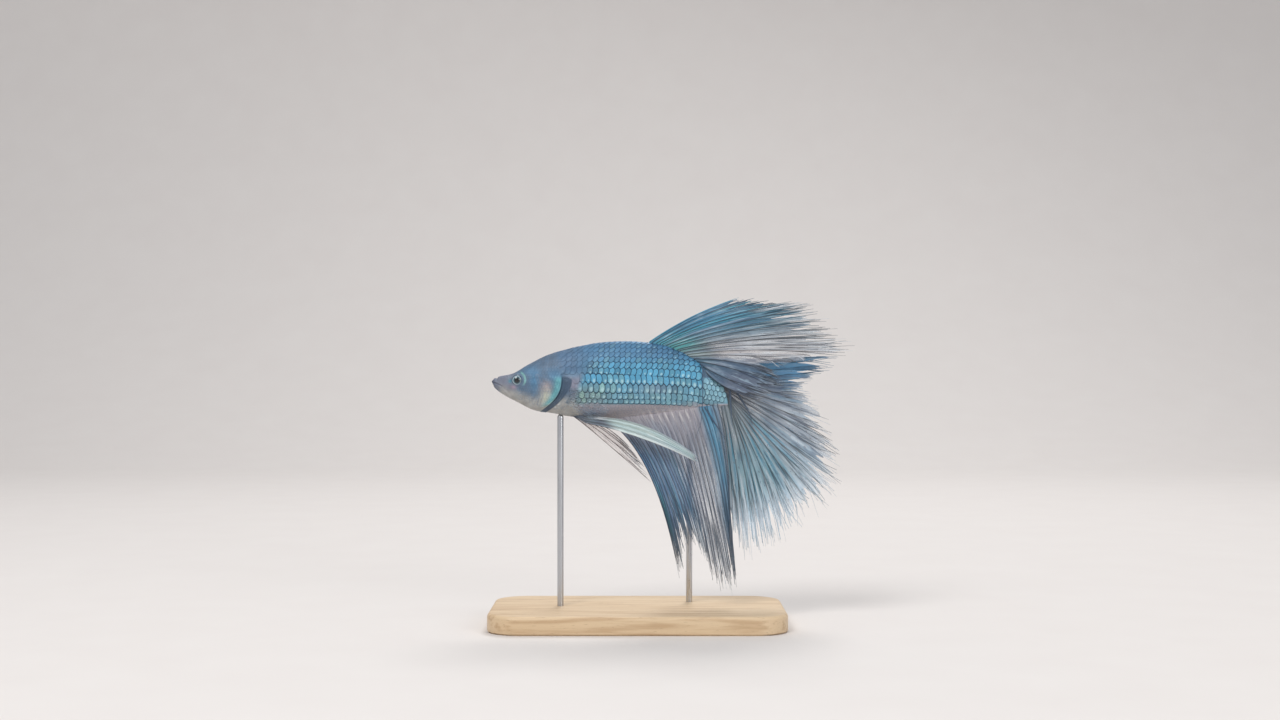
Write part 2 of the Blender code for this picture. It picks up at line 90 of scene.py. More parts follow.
BACK = [(0.0, 0.004), (0.03, 0.019), (0.09, 0.033), (0.16, 0.072), (0.242, 0.113), (0.34, 0.142),
        (0.45, 0.163), (0.555, 0.17), (0.65, 0.166), (0.74, 0.15), (0.82, 0.117), (0.885, 0.076),
        (0.94, 0.034), (1.01, 0.004)]
BELLY = [(0.0, -0.008), (0.012, -0.03), (0.05, -0.059), (0.11, -0.091), (0.18, -0.125),
         (0.25, -0.137), (0.34, -0.154), (0.46, -0.162), (0.6, -0.153), (0.75, -0.136),
         (0.9, -0.112), (1.01, -0.104)]
HALF_WIDTH = [(0.0, 0.013), (0.015, 0.024), (0.05, 0.037), (0.11, 0.053), (0.18, 0.067),
              (0.27, 0.077), (0.36, 0.078), (0.5, 0.07), (0.65, 0.057), (0.8, 0.041),
              (0.92, 0.026), (1.01, 0.012)]
WIDEST_LEVEL = [(0.0, -0.002), (0.05, -0.014), (0.12, -0.012), (0.25, -0.012), (0.45, -0.004),
                (0.7, 0.012), (0.88, -0.004), (1.01, -0.048)]
BACK_SHARPNESS = [(0.0, 0.8), (0.1, 0.75), (0.25, 0.85), (0.45, 1.0), (0.65, 1.15), (1.01, 1.1)]
BELLY_SHARPNESS = [(0.0, 0.9), (0.12, 1.05), (0.3, 0.95), (0.42, 1.15), (0.6, 1.75),
                   (0.9, 1.7), (1.01, 1.2)]
# The level at which the middle row of scales begins
MIDDLE_ROW = [(0.0, -0.002), (0.2, 0.0), (0.46, -0.0094), (0.8, -0.0209), (1.0, -0.05)]


# ---------------------------------------------------------------- numbers and colours

def tone(red, green, blue):
    """A colour given in 0 to 255 display values, as linear light."""
    value = np.array([red, green, blue]) / 255.0
    return np.where(value <= 0.04045, value / 12.92, ((value + 0.055) / 1.055) ** 2.4)


def lerp(a, b, f):
    return a + (b - a) * f


def ramp(x, start, end):
    """0 before start, 1 after end, and a smooth rise between."""
    f = np.clip((x - start) / (end - start), 0.0, 1.0)
    return f * f * (3.0 - 2.0 * f)


def fall(x, start, end):
    """1 before start, 0 after end, and a smooth fall between."""
    return 1.0 - ramp(x, start, end)


def bump(x, centre, width):
    return np.exp(-(((x - centre) / width) ** 2))


def blob(u, w, centre, size):
    return np.exp(-(((u - centre[0]) / size[0]) ** 2) - ((w - centre[1]) / size[1]) ** 2)


def layer(under, colour, share):
    """One colour laid over another, as thickly as share (0 to 1) says."""
    return under + (colour - under) * share[..., None]


def paint(colour, *coats):
    """Coats, each a colour and a share, laid over a colour one after another."""
    for coat, share in coats:
        colour = layer(colour, coat, share)
    return colour


def plain(colour, like):
    """One colour at every point of an array."""
    return np.broadcast_to(colour, np.shape(like) + (3,))


def smooth(stations, x):
    """A smooth curve through (position, value) stations, held level past its two ends."""
    xs = np.array([s[0] for s in stations])
    ys = np.array([s[1] for s in stations])
    last = len(xs) - 1
    low = np.maximum(np.arange(last + 1) - 1, 0)
    high = np.minimum(np.arange(last + 1) + 1, last)
    slopes = (ys[high] - ys[low]) / (xs[high] - xs[low])
    x = np.clip(x, xs[0], xs[last])
    i = np.clip(np.searchsorted(xs, x, side="right") - 1, 0, last - 1)
    span = xs[i + 1] - xs[i]
    f = (x - xs[i]) / span
    start = (2 * f**3 - 3 * f**2 + 1) * ys[i] + (f**3 - 2 * f**2 + f) * span * slopes[i]
    return start + (3 * f**2 - 2 * f**3) * ys[i + 1] + (f**3 - f**2) * span * slopes[i + 1]


def place(u, v, w):
    """Body units to metres in the frame."""
    u, v, w = np.broadcast_arrays(u, v, w)
    x = (u - STAND_CENTRE_U) * STANDARD_LENGTH
    return np.stack([x, v * STANDARD_LENGTH, MOUTH_HEIGHT + w * STANDARD_LENGTH], -1)


def body_units(points):
    """The u and w of points given in metres."""
    u = points[..., 0] / STANDARD_LENGTH + STAND_CENTRE_U
    return u, (points[..., 2] - MOUTH_HEIGHT) / STANDARD_LENGTH


def unit(vectors):
    return vectors / np.maximum(np.linalg.norm(vectors, axis=-1, keepdims=True), 1e-12)


def off_line(u, w, points):
    """Distance from a line of points, and the share of the line passed at the nearest spot."""
    best = np.full(np.shape(u), 1e9)
    share = np.zeros(np.shape(u))
    count = len(points) - 1
    for k in range(count):
        (au, aw), (bu, bw) = points[k], points[k + 1]
        length = (bu - au) ** 2 + (bw - aw) ** 2
        f = np.clip(((u - au) * (bu - au) + (w - aw) * (bw - aw)) / length, 0.0, 1.0)
        gap = np.hypot(u - au - f * (bu - au), w - aw - f * (bw - aw))
        nearer = gap < best
        best = np.where(nearer, gap, best)
        share = np.where(nearer, (k + f) / count, share)
    return best, share


# ---------------------------------------------------------------- surface of the body

def body_point(u, angle):
    """The body's surface in body units. angle is 0 on the left side and 90 degrees on the back."""
    level = smooth(WIDEST_LEVEL, u)
    up, across = np.sin(angle), np.cos(angle)
    reach = np.where(up > 0, smooth(BACK, u) - level, level - smooth(BELLY, u))
    sharpness = np.where(up > 0, smooth(BACK_SHARPNESS, u), smooth(BELLY_SHARPNESS, u))
    side = np.abs(across) ** sharpness * np.sign(across)
    u, v, w = np.broadcast_arrays(u, -smooth(HALF_WIDTH, u) * side, level + reach * up)
    return np.stack([u, v, w], -1)


def body_normal(u, angle):
    """The way out of the body's surface."""
    step = 0.003
    along = body_point(u + step, angle) - body_point(u - step, angle)
    around = body_point(u, angle + step) - body_point(u, angle - step)
    return unit(np.cross(along, around))


def angle_at(u, w):
    """The angle at which the left side of the body has a level."""
    level = smooth(WIDEST_LEVEL, u)
    reach = np.where(w > level, smooth(BACK, u) - level, level - smooth(BELLY, u))
    return np.arcsin(np.clip((w - level) / reach, -1.0, 1.0))


def left_spot(u, w):
    """A point of the left flank in metres, and the way out of it, square to the body's length."""
    angle = angle_at(u, w)
    normal = body_normal(u, angle)
    normal[0] = 0.0
    return place(*body_point(u, angle)), unit(normal)


def gill_edge(w):
    """How far ahead of HEAD_END_U the gill cover's rear edge lies."""
    return 12.4 * np.clip(0.02 - w, 0.0, 0.16) ** 2.57


def tail_edge(w):
    """How far ahead of TAIL_END_U the end of the tail stalk lies."""
    return 2.3 * np.clip(w + 0.1, 0.0, 0.14) ** 1.8


def past_cover(u, w):
    """As behind_gill, without the round corners."""
    return u - (HEAD_END_U - gill_edge(w))


def behind_gill(u, w):
    """How far a point lies behind the gill cover's rear edge; less than 0 is on the cover."""
    share = np.clip((w - GILL_COVER_BOTTOM_W) / (GILL_COVER_TOP_W - GILL_COVER_BOTTOM_W), 0, 1)
    rounding = np.sqrt(np.maximum(0.0, 1.0 - np.abs(2 * share - 1.0) ** 2.6))
    return past_cover(u, w) + GILL_COVER_CORNER * (1.0 - rounding)


def cover_height(w):
    """1 at the levels the gill cover spans, fading at its top and bottom corners."""
    low = ramp(w, GILL_COVER_BOTTOM_W - 0.002, GILL_COVER_BOTTOM_W + 0.01)
    return low * fall(w, GILL_COVER_TOP_W - 0.032, GILL_COVER_TOP_W + 0.004)


def membrane_width(w):
    """Width of the membrane behind the gill cover: widest above its middle, round at its top."""
    full = MEMBRANE_WIDTH * lerp(0.72, 1.0, ramp(w, -0.07, -0.01))
    return full * np.sqrt(fall(w, 0.004, MEMBRANE_TOP_W))


def membrane(u, w):
    """1 on the dark gill membrane that shows behind the cover."""
    behind = past_cover(u, w)
    rear = membrane_width(w)
    band = ramp(behind, -0.003, 0.0) * fall(behind, rear - 0.0045, rear + 0.001)
    return band * fall(w, MEMBRANE_TOP_W - 0.014, MEMBRANE_TOP_W)


MOUTH_LINE = [(-0.01, -0.002), (0.018, -0.0095), (0.04, -0.019), (0.048, -0.0255)]
JAW_LINE = [(0.05, -0.03), (0.072, -0.046), (0.096, -0.072), (0.11, -0.092)]
CHEEK_LINE = [(0.16, 0.02), (0.172, -0.01), (0.176, -0.045), (0.166, -0.08), (0.135, -0.098)]
COVER_RIDGE = [(0.196, 0.022), (0.212, -0.02), (0.214, -0.06), (0.203, -0.096)]
# Folds and grooves along lines: the shares of the line between which they fade out, and for
# each a height in metres, a distance from the line and a width. The first doesn't fade.
CREASES = [(COVER_RIDGE, (2.0, 3.0), [(0.00004, 0.0, 0.007), (-0.00002, 0.011, 0.005)]),
           (CHEEK_LINE, (0.6, 0.95), [(0.00005, 0.0, 0.008), (-0.00002, 0.012, 0.005)]),
           (JAW_LINE, (0.45, 0.9), [(-0.00006, 0.0, 0.0045)]),
           (MOUTH_LINE, (0.86, 1.0), [(-0.00013, 0.0, 0.0017), (0.00005, 0.0062, 0.003)])]
NOSTRILS = [((0.043, 0.0115), 0.0022, 0.0001), ((0.066, 0.0165), 0.003, 0.00013)]


def relief(u, w):
    """Height of the skin over the plain body, in metres."""
    gone = behind_gill(u, w)
    tall = cover_height(w)
    band = membrane(u, w)
    on_cover = fall(gone, -0.0016, 0.0004) * tall
    coat = lerp(HEAD_COAT_DEPTH, COAT_DEPTH, ramp(u, 0.16, 0.31))
    height = -lerp(lerp(coat, HEAD_COAT_DEPTH, on_cover), 0.0, band)
    height = height + GILL_COVER_RISE * on_cover * ramp(gone, -0.115, -0.004)
    height = height - 0.00015 * bump(gone, 0.0016, 0.002) * tall
    folds = np.sin(2 * np.pi * gone / 0.0105) * ramp(gone, 0.003, 0.008)
    height = height + 0.000018 * folds * band
    for line, fade, ridges in CREASES:
        gap, share = off_line(u, w, line)
        for rise, away, width in ridges:
            height = height + rise * bump(gap, away, width) * fall(share, *fade)
    lips = 0.00007 * bump(u, 0.012, 0.0045) - 0.0002 * bump(u, 0.0215, 0.0042)
    height = height + lips * ramp(w, -0.002, 0.006)
    for centre, size, deep in NOSTRILS:
        away = np.hypot(u - centre[0], w - centre[1])
        height = height - deep * bump(away, 0.0, size) + 0.00004 * bump(away, 1.7 * size, size)
    away = np.hypot(u - EYE_U, w - EYE_W)
    height = height - 0.0005 * fall(away, 0.016, 0.0212)
    return height + 0.00004 * bump(away, 0.0245, 0.003) - 0.00003 * bump(away, 0.031, 0.004)


def skin_point(u, angle, lift=0.0):
    """A point on the sculpted skin, lifted off it by lift metres."""
    flat = body_point(u, angle)
    rise = relief(flat[..., 0], flat[..., 2]) + lift
    return place(*np.moveaxis(flat, -1, 0)) + body_normal(u, angle) * rise[..., None]


# ---------------------------------------------------------------- markings, with some painted light and shade

NAPE = tone(79, 106, 134)
BACK_BLUE = tone(70, 117, 152)
FLANK = tone(83, 154, 187)
LOW_FLANK = tone(112, 157, 174)
LOW_FRONT = tone(124, 148, 146)
LILAC = tone(124, 146, 168)
GREY_SIDE = tone(128, 129, 145)
BELLY_GREY = tone(158, 153, 159)
# Painted shadow: the dark slate laid on the belly round the pelvic fins' roots, behind the pectoral
# fin
PELVIC_PAINTED_SHADOW = tone(94, 104, 122)
LOBE = tone(130, 176, 194)
STALK_DARK = tone(80, 104, 126)
HEAD_GREY = tone(90, 109, 130)
SNOUT = tone(112, 116, 130)
CHEEK = tone(162, 162, 160)
HEAD_BLUE = tone(80, 132, 168)
COVER_PINK = tone(172, 160, 160)
COVER_GOLD = tone(194, 195, 178)
COVER_RIM = tone(102, 166, 174)
MEMBRANE_DARK = tone(60, 78, 98)
# Dark of the lips' tip, also used as painted shade along the mouth's groove
LIP_DARK_AND_MOUTH_SHADE = tone(78, 84, 100)
EYE_MINT = tone(140, 198, 188)
EYE_TEAL = tone(70, 142, 160)
EYE_PINK = tone(178, 148, 164)
WHITE_GLINT = tone(226, 230, 232)
# Soft patches on the head: colour, share, middle and size
HEAD_PATCHES = [(HEAD_BLUE, 0.75, (0.186, 0.004), (0.02, 0.044)),
                (HEAD_BLUE, 0.7, (0.272, 0.02), (0.034, 0.03)),
                (HEAD_BLUE, 0.4, (0.16, 0.045), (0.04, 0.02)),
                (COVER_PINK, 0.9, (0.236, -0.03), (0.024, 0.03)),
                (COVER_GOLD, 0.95, (0.234, -0.07), (0.024, 0.032))]
GLINTS = [(0.285, -0.1), (0.29, -0.095), (0.272, -0.111)]


def stalk_top(u, w):
    """Above 0 on the dark top of the tail stalk, below 0 on the rounded scaled lobe."""
    return w - 0.0075 + 74.0 * np.clip(u - 0.95, 0.0, None) ** 2.3


def belly_colour(u, w):
    """Grey underside, painted lighter toward its lower edge to offset the shade there, with fine
    pale slanting lines over the roots of the anal fin.
    """
    # Painted light: rim lightens the underside toward its lower edge, from u 0.4 back, to make up
    # for the shade that falls where it curves under
    rim = ramp(smooth(BELLY, u) + 0.03 - w, 0.0, 0.03) * ramp(u, 0.4, 0.55)
    colour = BELLY_GREY * (1.0 + 0.34 * rim * fall(smooth(BELLY, u) - w, 0.0, 0.004))[..., None]
    stripe = np.abs(((u + 0.5 * w) / 0.031) % 1.0 - 0.5)
    spread_out = ramp(u, 0.6, 0.7) * fall(u, 0.86, 0.91) * blob(u, w, (u, -0.148), (1, 0.024))
    colour = layer(colour, tone(212, 208, 208), 0.8 * bump(stripe, 0.0, 0.11) * spread_out)
    return layer(colour, tone(126, 122, 132), 0.5 * bump(stripe, 0.5, 0.2) * spread_out)


def blotches(u, w):
    """Soft uneven patches, from -1 to 1."""
    return np.sin(88.0 * u + 3.0 * np.sin(40.0 * w)) * np.sin(95.0 * w + 2.0 * np.sin(52.0 * u))


def head_colour(u, w, gone):
    """The head's colours. gone is how far a point lies behind the gill cover's edge."""
    below = w + 0.02 + 0.35 * np.clip(u - 0.02, 0.0, 0.16)
    rim = bump(gone, -0.014, 0.017) * fall(w, 0.0, 0.03) * ramp(w, -0.118, -0.085)
    patches = [(colour, share * blob(u, w, centre, size))
               for colour, share, centre, size in HEAD_PATCHES]
    return paint(plain(HEAD_GREY, u), (SNOUT, fall(u, 0.07, 0.13)),
                 (CHEEK, fall(below, -0.018, 0.03) * ramp(u, 0.02, 0.05)),
                 *patches, (COVER_RIM, 0.95 * rim))


def hide(u, w):
    """The markings, with some painted light and shade, shared by the skin and the scales on it, as
    linear colours.
    """
    upper = stalk_top(u, w)
    lobe = ramp(u, 0.893, 0.905) * fall(upper, 0.0, 0.008)
    gone = behind_gill(u, w)
    head = head_colour(u, w, gone)
    away = np.hypot(u - EYE_U, w - EYE_W)
    crescent = bump(away, 0.0345, 0.0042) * ramp(u - EYE_U, 0.008, 0.022) * ramp(w, -0.025, 0.0)
    mouth_gap, mouth_share = off_line(u, w, MOUTH_LINE)
    ridge_gap, _ = off_line(u, w, COVER_RIDGE)
    colour = paint(
        plain(FLANK, u),
        (LOW_FLANK, 0.8 * fall(w, -0.07, 0.01)),
        (LOW_FRONT, 0.75 * fall(u, 0.4, 0.56) * fall(w, -0.05, 0.01)),
        (LILAC, 0.65 * blob(u, w, (0.7, -0.032), (0.08, 0.022))),
        (BACK_BLUE, ramp(w, 0.04, 0.12)),
        (NAPE, fall(u + 0.5 * w, 0.37, 0.54) * ramp(w, 0.0, 0.05)),
        (GREY_SIDE, fall(u - 0.35 * w, 0.366, 0.396) * fall(w, 0.0, 0.05)),
        (belly_colour(u, w), fall(w, SCALE_LINE_W - 0.012, SCALE_LINE_W + 0.003)),
        # painted shadow on the belly round the pelvic fins' roots
        (PELVIC_PAINTED_SHADOW, 0.9 * blob(u, w, (0.42, -0.142), (0.07, 0.03))),
        (STALK_DARK, ramp(u, 0.892, 0.899) * ramp(upper, 0.0, 0.008)),
        (LOBE, lobe * ramp(w, SCALE_LINE_W - 0.004, SCALE_LINE_W + 0.008)),
        (head, fall(u + 0.4 * w, 0.3, 0.345)),
        (head, fall(gone, -0.001, 0.0005) * cover_height(w)),
        (MEMBRANE_DARK, 0.92 * membrane(u, w)),
        (EYE_MINT, 0.75 * crescent),
        (EYE_TEAL, 0.7 * blob(u, w, (0.082, 0.0), (0.009, 0.008))),
        (EYE_PINK, 0.5 * blob(u, w, (0.095, -0.026), (0.013, 0.008))),
        (LIP_DARK_AND_MOUTH_SHADE, 0.75 * fall(u, 0.004, 0.02)),
        # painted shade along the groove of the mouth line
        (LIP_DARK_AND_MOUTH_SHADE, 0.3 * bump(mouth_gap, 0.0, 0.0022) * fall(mouth_share, 0.8, 1.0)),
        *((WHITE_GLINT, 0.8 * blob(u, w, spot, (0.0035, 0.0025))) for spot in GLINTS),
        (SNOUT, 0.35 * bump(ridge_gap, 0.006, 0.004)))
    front = ramp(u, 0.02, 0.08) * fall(u, 0.42, 0.6)
    return colour * (1.0 + 0.13 * blotches(u, w) * front)[..., None]


def scale_contrast(u, w):
    """How plainly the scales' dark margins show."""
    bright = ramp(u - 0.35 * w, 0.36, 0.4) * ramp(w, SCALE_LINE_W - 0.012, SCALE_LINE_W + 0.004)
    back = 1.0 - 0.62 * ramp(w, 0.055, 0.13) * (1.0 - 0.6 * ramp(u, 0.6, 0.74))
    top = ramp(u, 0.89, 0.9) * ramp(stalk_top(u, w), -0.002, 0.003)
    return 0.12 + 0.88 * bright * back * ramp(u - 0.6 * w, 0.29, 0.4) * (1.0 - 0.8 * top)


def scale_slant(arc):
    """How far a scale's upper end leans toward the tail, which it does on the upper rows."""
    return 0.55 * ramp(arc, 0.03, 0.085)


# ---------------------------------------------------------------- meshes

def first_corners(counts):
    """Where each face's corners start."""
    return np.concatenate([[0], np.cumsum(counts)[:-1]])


def add_mesh(name, points, faces, look, attributes=(), uv=None, crease=None):
    """A piece from points and arrays of faces with the same number of corners each."""
    mesh = bpy.data.meshes.new(name)
    points = np.asarray(points, np.float32).reshape(-1, 3)
    mesh.vertices.add(len(points))
    mesh.vertices.foreach_set("co", points.ravel())
    faces = [np.asarray(f, np.int32) for f in faces if len(f)]
    corners = np.concatenate([f.ravel() for f in faces])
    counts = np.concatenate([np.full(len(f), f.shape[1]) for f in faces])
    mesh.loops.add(len(corners))
    mesh.loops.foreach_set("vertex_index", corners)
    mesh.polygons.add(len(counts))
    mesh.polygons.foreach_set("loop_start", first_corners(counts).astype(np.int32))
    mesh.update(calc_edges=True)
    for key, values in dict(attributes).items():
        kind, field = ("FLOAT_VECTOR", "vector") if np.ndim(values) > 1 else ("FLOAT", "value")
        if key == "hide":
            kind, field = "FLOAT_COLOR", "color"
            values = np.column_stack([values, np.ones(len(values))])
        made = mesh.attributes.new(key, kind, "POINT")
        made.data.foreach_set(field, np.asarray(values, np.float32).ravel())
    if uv is not None:
        spots = uv(corners, counts) if callable(uv) else uv[corners]
        mesh.uv_layers.new(name="OFBake").data.foreach_set("uv", spots.astype(np.float32).ravel())
    made = bpy.data.objects.new(name, mesh)
    bpy.context.scene.collection.objects.link(made)
    mesh.materials.append(look)
    mesh.shade_smooth()
    if crease:
        mesh.set_sharp_from_angle(angle=math.radians(crease))
    return made


def show(piece, slot, *nodes):
    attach(piece, "root")
    if nodes:
        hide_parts(*nodes)
    return piece


def grid_faces(rows, columns, closed=False, flip=False):
    """Quads over a grid of points, row after row."""
    r, c = np.meshgrid(np.arange(rows - 1), np.arange(columns - (not closed)), indexing="ij")
    n = (c + 1) % columns
    quads = np.stack([r * columns + c, (r + 1) * columns + c, (r + 1) * columns + n,
                      r * columns + n], -1).reshape(-1, 4)
    return quads[:, ::-1] if flip else quads


def turned(faces, flip=True):
    """The faces turned over."""
    return [f[:, ::-1] for f in faces] if flip else faces


def tube_faces(rows, columns):
    """A stack of rings with flat ends."""
    ring = np.arange(columns)[None]
    return [grid_faces(rows, columns, closed=True), ring, ring[:, ::-1] + (rows - 1) * columns]


def ball_faces(rows, columns):
    """A stack of rings that run to two tips, whose points come after the rings' own."""
    ring = np.arange(columns)
    after = (ring + 1) % columns
    start, tip = (rows - 1) * columns, rows * columns
    return [grid_faces(rows, columns, closed=True),
            np.stack([np.full(columns, tip), ring, after], 1),
            np.stack([np.full(columns, tip + 1), start + after, start + ring], 1)]


def repeated(faces, count, size):
    """The same faces for each of count copies of size points."""
    shift = (np.arange(count) * size)[:, None, None]
    return [(f[None] + shift).reshape(-1, f.shape[1]) for f in faces]


def circle(sides):
    """The angles of a ring's points."""
    return 2 * np.pi * np.arange(sides) / sides


def rings_round(middle, normal, across, size, sides):
    """Rings of points round a line of middles. size gives their radii."""
    turn = circle(sides)[:, None]
    ring = normal[..., None, :] * np.cos(turn) + across[..., None, :] * np.sin(turn)
    return middle[..., None, :] + ring * size[..., None, None]


# ---------------------------------------------------------------- materials

class Look:
    """A material under construction. Its methods add nodes and return their outputs."""

    def __init__(self, name, **sockets):
        self.material = bpy.data.materials.new(name)
        self.material.use_nodes = True
        self.tree = self.material.node_tree
        self.sockets = self.tree.nodes["Principled BSDF"].inputs
        for key, value in sockets.items():
            self.sockets[key.replace("_", " ").title().replace("Ior", "IOR")].default_value = value

    def node(self, kind, inputs, **props):
        made = self.tree.nodes.new("ShaderNode" + kind)
        for key, value in props.items():
            setattr(made, key, value)
        for key, value in inputs.items():
            if isinstance(value, bpy.types.NodeSocket):
                self.tree.links.new(value, made.inputs[key])
            else:
                made.inputs[key].default_value = value
        return made.outputs

    def attribute(self, name, output="Fac"):
        return self.node("Attribute", {}, attribute_name=name)[output]

    def here(self):
        return self.node("TexCoord", {})["Object"]

    def math(self, operation, a, b, clamp=False):
        return self.node("Math", {0: a, 1: b}, operation=operation, use_clamp=clamp)[0]

    def spread(self, value, low, high, to_low=0.0, to_high=1.0):
        """A smooth step from to_low to to_high while value runs from low to high."""
        inputs = {"Value": value, "From Min": low, "From Max": high,
                  "To Min": to_low, "To Max": to_high}
        return self.node("MapRange", inputs, interpolation_type="SMOOTHSTEP")["Result"]

    def blend(self, factor, a, b, kind="MIX"):
        a, b = ((*c, 1.0) if isinstance(c, np.ndarray) else c for c in (a, b))
        return self.node("Mix", {0: factor, 6: a, 7: b}, data_type="RGBA", blend_type=kind)[2]

    def noise(self, vector, scale, detail, stretch=None):
        if stretch:
            vector = self.node("VectorMath", {0: vector, 1: stretch}, operation="MULTIPLY")[0]
        return self.node("TexNoise", {"Vector": vector, "Scale": scale, "Detail": detail})["Fac"]

    def to(self, socket, value):
        self.tree.links.new(value, self.sockets[socket])

    def finish(self, colour, height, strength, distance, field=None, rough=(0.3, 0.5)):
        """The colour, bumps of the height given and, where a field is given, its roughness."""
        self.to("Base Color", colour)
        bumps = {"Height": height, "Strength": strength, "Distance": distance}
        self.to("Normal", self.node("Bump", bumps)["Normal"])
        if field:
            self.to("Roughness", self.spread(field, 0.3, 0.7, *rough))
        return self.material


def skin_look():
    look = Look("fish_skin", specular_ior_level=0.3, coat_weight=0.04, coat_roughness=0.45)
    spot = look.here()
    mottle = look.noise(spot, 900.0, 4.0)
    speck = look.noise(spot, 5200.0, 2.0)
    colour = look.attribute("hide", "Color")
    for field, low, high, share, coat in [(mottle, 0.5, 0.72, 0.16, tone(150, 176, 188)),
                                          (mottle, 0.5, 0.3, 0.22, tone(78, 96, 124)),
                                          (speck, 0.62, 0.72, 0.3, tone(60, 72, 92))]:
        colour = look.blend(look.spread(field, low, high, 0.0, share), colour, coat)
    fine = look.math("ADD", look.math("MULTIPLY", mottle, 0.6), speck)
    return look.finish(colour, fine, 0.35, 0.00004, mottle, (0.56, 0.7))


def scale_look():
    """line is how plainly a scale's margin and glint show, edge how near its margin a point is."""
    look = Look("fish_scales", metallic=0.18, coat_roughness=0.25)
    base = look.attribute("hide", "Color")
    line = look.attribute("line")
    dark = look.blend(1.0, base, tone(92, 108, 122), "MULTIPLY")
    rim = look.math("MULTIPLY", look.spread(look.attribute("edge"), 0.7, 0.9), line)
    glint = look.math("MULTIPLY", look.spread(look.attribute("glint"), 1.15, 0.25, 0.0, 0.62), line)
    grain = look.noise(look.here(), 4200.0, 3.0)
    shine = look.blend(glint, base, tone(184, 220, 224))
    shine = look.blend(look.spread(grain, 0.45, 0.7, 0.0, 0.35), shine, tone(74, 118, 150))
    dull = look.spread(line, 0.15, 0.8, 0.14, 0.0)
    look.to("Roughness", look.math("ADD", look.spread(grain, 0.3, 0.7, 0.36, 0.5), dull))
    look.to("Coat Weight", look.spread(line, 0.15, 0.8, 0.03, 0.15))
    ribs = {"Vector": look.attribute("fan", "Vector"), "Scale": 1.0, "Distortion": 0.6}
    tall = look.math("ADD", look.math("MULTIPLY", look.node("TexWave", ribs)["Fac"], 0.5), grain)
    return look.finish(look.blend(rim, shine, dark), tall, 0.25, 0.00003)


def fin_look(name, pale, dark):
    """Streaked, see-through web. The spot attribute runs across the rays (x) and along them (y)."""
    look = Look(name, coat_weight=0.2, coat_roughness=0.25)
    spot = look.attribute("spot", "Vector")
    fine = look.noise(spot, 1.0, 2.0, (4.0, 0.55, 1.0))
    broad = look.noise(spot, 1.0, 2.0, (0.9, 0.45, 1.0))
    dashes = look.noise(spot, 1.0, 1.0, (5.0, 3.2, 1.0))
    late = look.spread(look.node("SeparateXYZ", {0: spot})["Y"], 2.0, 6.5, 0.35, 1.0)
    shine = look.math("MULTIPLY", look.spread(fine, 0.44, 0.3, 0.0, 0.45), late)
    haze = look.math("MULTIPLY", look.spread(broad, 0.55, 0.75, 0.0, 0.3), late)
    streak = look.spread(fine, 0.54, 0.7, 0.0, 0.6)
    speckle = look.spread(dashes, 0.64, 0.74, 0.0, 0.55)
    colour = look.attribute("hide", "Color")
    for share, coat in [(streak, dark), (shine, pale), (haze, pale), (speckle, dark)]:
        colour = look.blend(share, colour, coat)
    change = look.spread(fine, 0.3, 0.7, -0.14, 0.18)
    look.to("Alpha", look.math("ADD", look.attribute("clear"), change, clamp=True))
    return look.finish(colour, fine, 0.5, 0.00008, broad, (0.34, 0.52))


def ray_look():
    look = Look("fin_rays", coat_weight=0.2, coat_roughness=0.25)
    bands = look.noise(look.attribute("spot", "Vector"), 1.0, 2.0, (1.0, 30.0, 1.0))
    joints = look.spread(bands, 0.5, 0.68, 0.0, 0.35)
    colour = look.blend(joints, look.attribute("hide", "Color"), tone(40, 54, 78))
    return look.finish(colour, bands, 0.3, 0.00003, bands, (0.34, 0.5))


def eye_look():
    """spot.x is the distance from the pupil's middle, spot.y the way round it."""
    look = Look("fish_eye", roughness=0.22, coat_weight=0.45, coat_roughness=0.06)
    spot = look.attribute("spot", "Vector")
    away = look.node("SeparateXYZ", {0: spot})["X"]
    fibres = look.noise(spot, 1.0, 3.0, (3.0, 14.0, 1.0))
    iris = look.blend(fibres, tone(24, 46, 56), tone(58, 92, 102))
    ring = look.blend(fibres, tone(112, 134, 148), tone(160, 178, 184))
    colour = tone(8, 14, 20)
    for start, end, coat in [(0.46, 0.51, iris), (0.66, 0.76, ring), (0.9, 0.98, tone(60, 78, 96))]:
        colour = look.blend(look.spread(away, start, end), colour, coat)
    return look.finish(colour, fibres, 0.15, 0.00002)


def wood_look():
    look = Look("stand_wood", coat_weight=0.15, coat_roughness=0.35)
    spot = look.here()
    grain = look.noise(spot, 1.0, 4.0, (60.0, 900.0, 900.0))
    broad = look.noise(spot, 1.0, 2.0, (18.0, 160.0, 160.0))
    pores = look.noise(spot, 1.0, 2.0, (500.0, 5200.0, 5200.0))
    colour = look.blend(broad, tone(196, 166, 128), tone(224, 200, 166))
    colour = look.blend(look.spread(grain, 0.48, 0.7, 0.0, 0.55), colour, tone(168, 132, 94))
    colour = look.blend(look.spread(pores, 0.62, 0.74, 0.0, 0.45), colour, tone(120, 88, 60))
    return look.finish(colour, look.math("ADD", grain, pores), 0.25, 0.00005, grain, (0.42, 0.58))


def steel_look():
    look = Look("stand_steel", metallic=1.0)
    brushed = look.noise(look.here(), 1.0, 3.0, (3000.0, 3000.0, 90.0))
    colour = look.blend(brushed, tone(178, 180, 184), tone(206, 207, 210))
    return look.finish(colour, brushed, 0.3, 0.00002, brushed, (0.24, 0.4))


def paper_look():
    look = Look("studio_paper", roughness=0.9)
    grain = look.noise(look.here(), 60.0, 3.0)
    look.to("Base Color", look.blend(grain, tone(216, 210, 206), tone(220, 215, 211)))
    return look.material


# ---------------------------------------------------------------- skin

AROUND = 288
NOSE_LENGTH = 0.014
NOSE_RINGS = 15
TAIL_ROUND = 0.012
TAIL_RINGS = 9
# The rings between these lean with the gill cover's rear edge
LEAN_START_U = 0.172
LEAN_END_U = 0.5


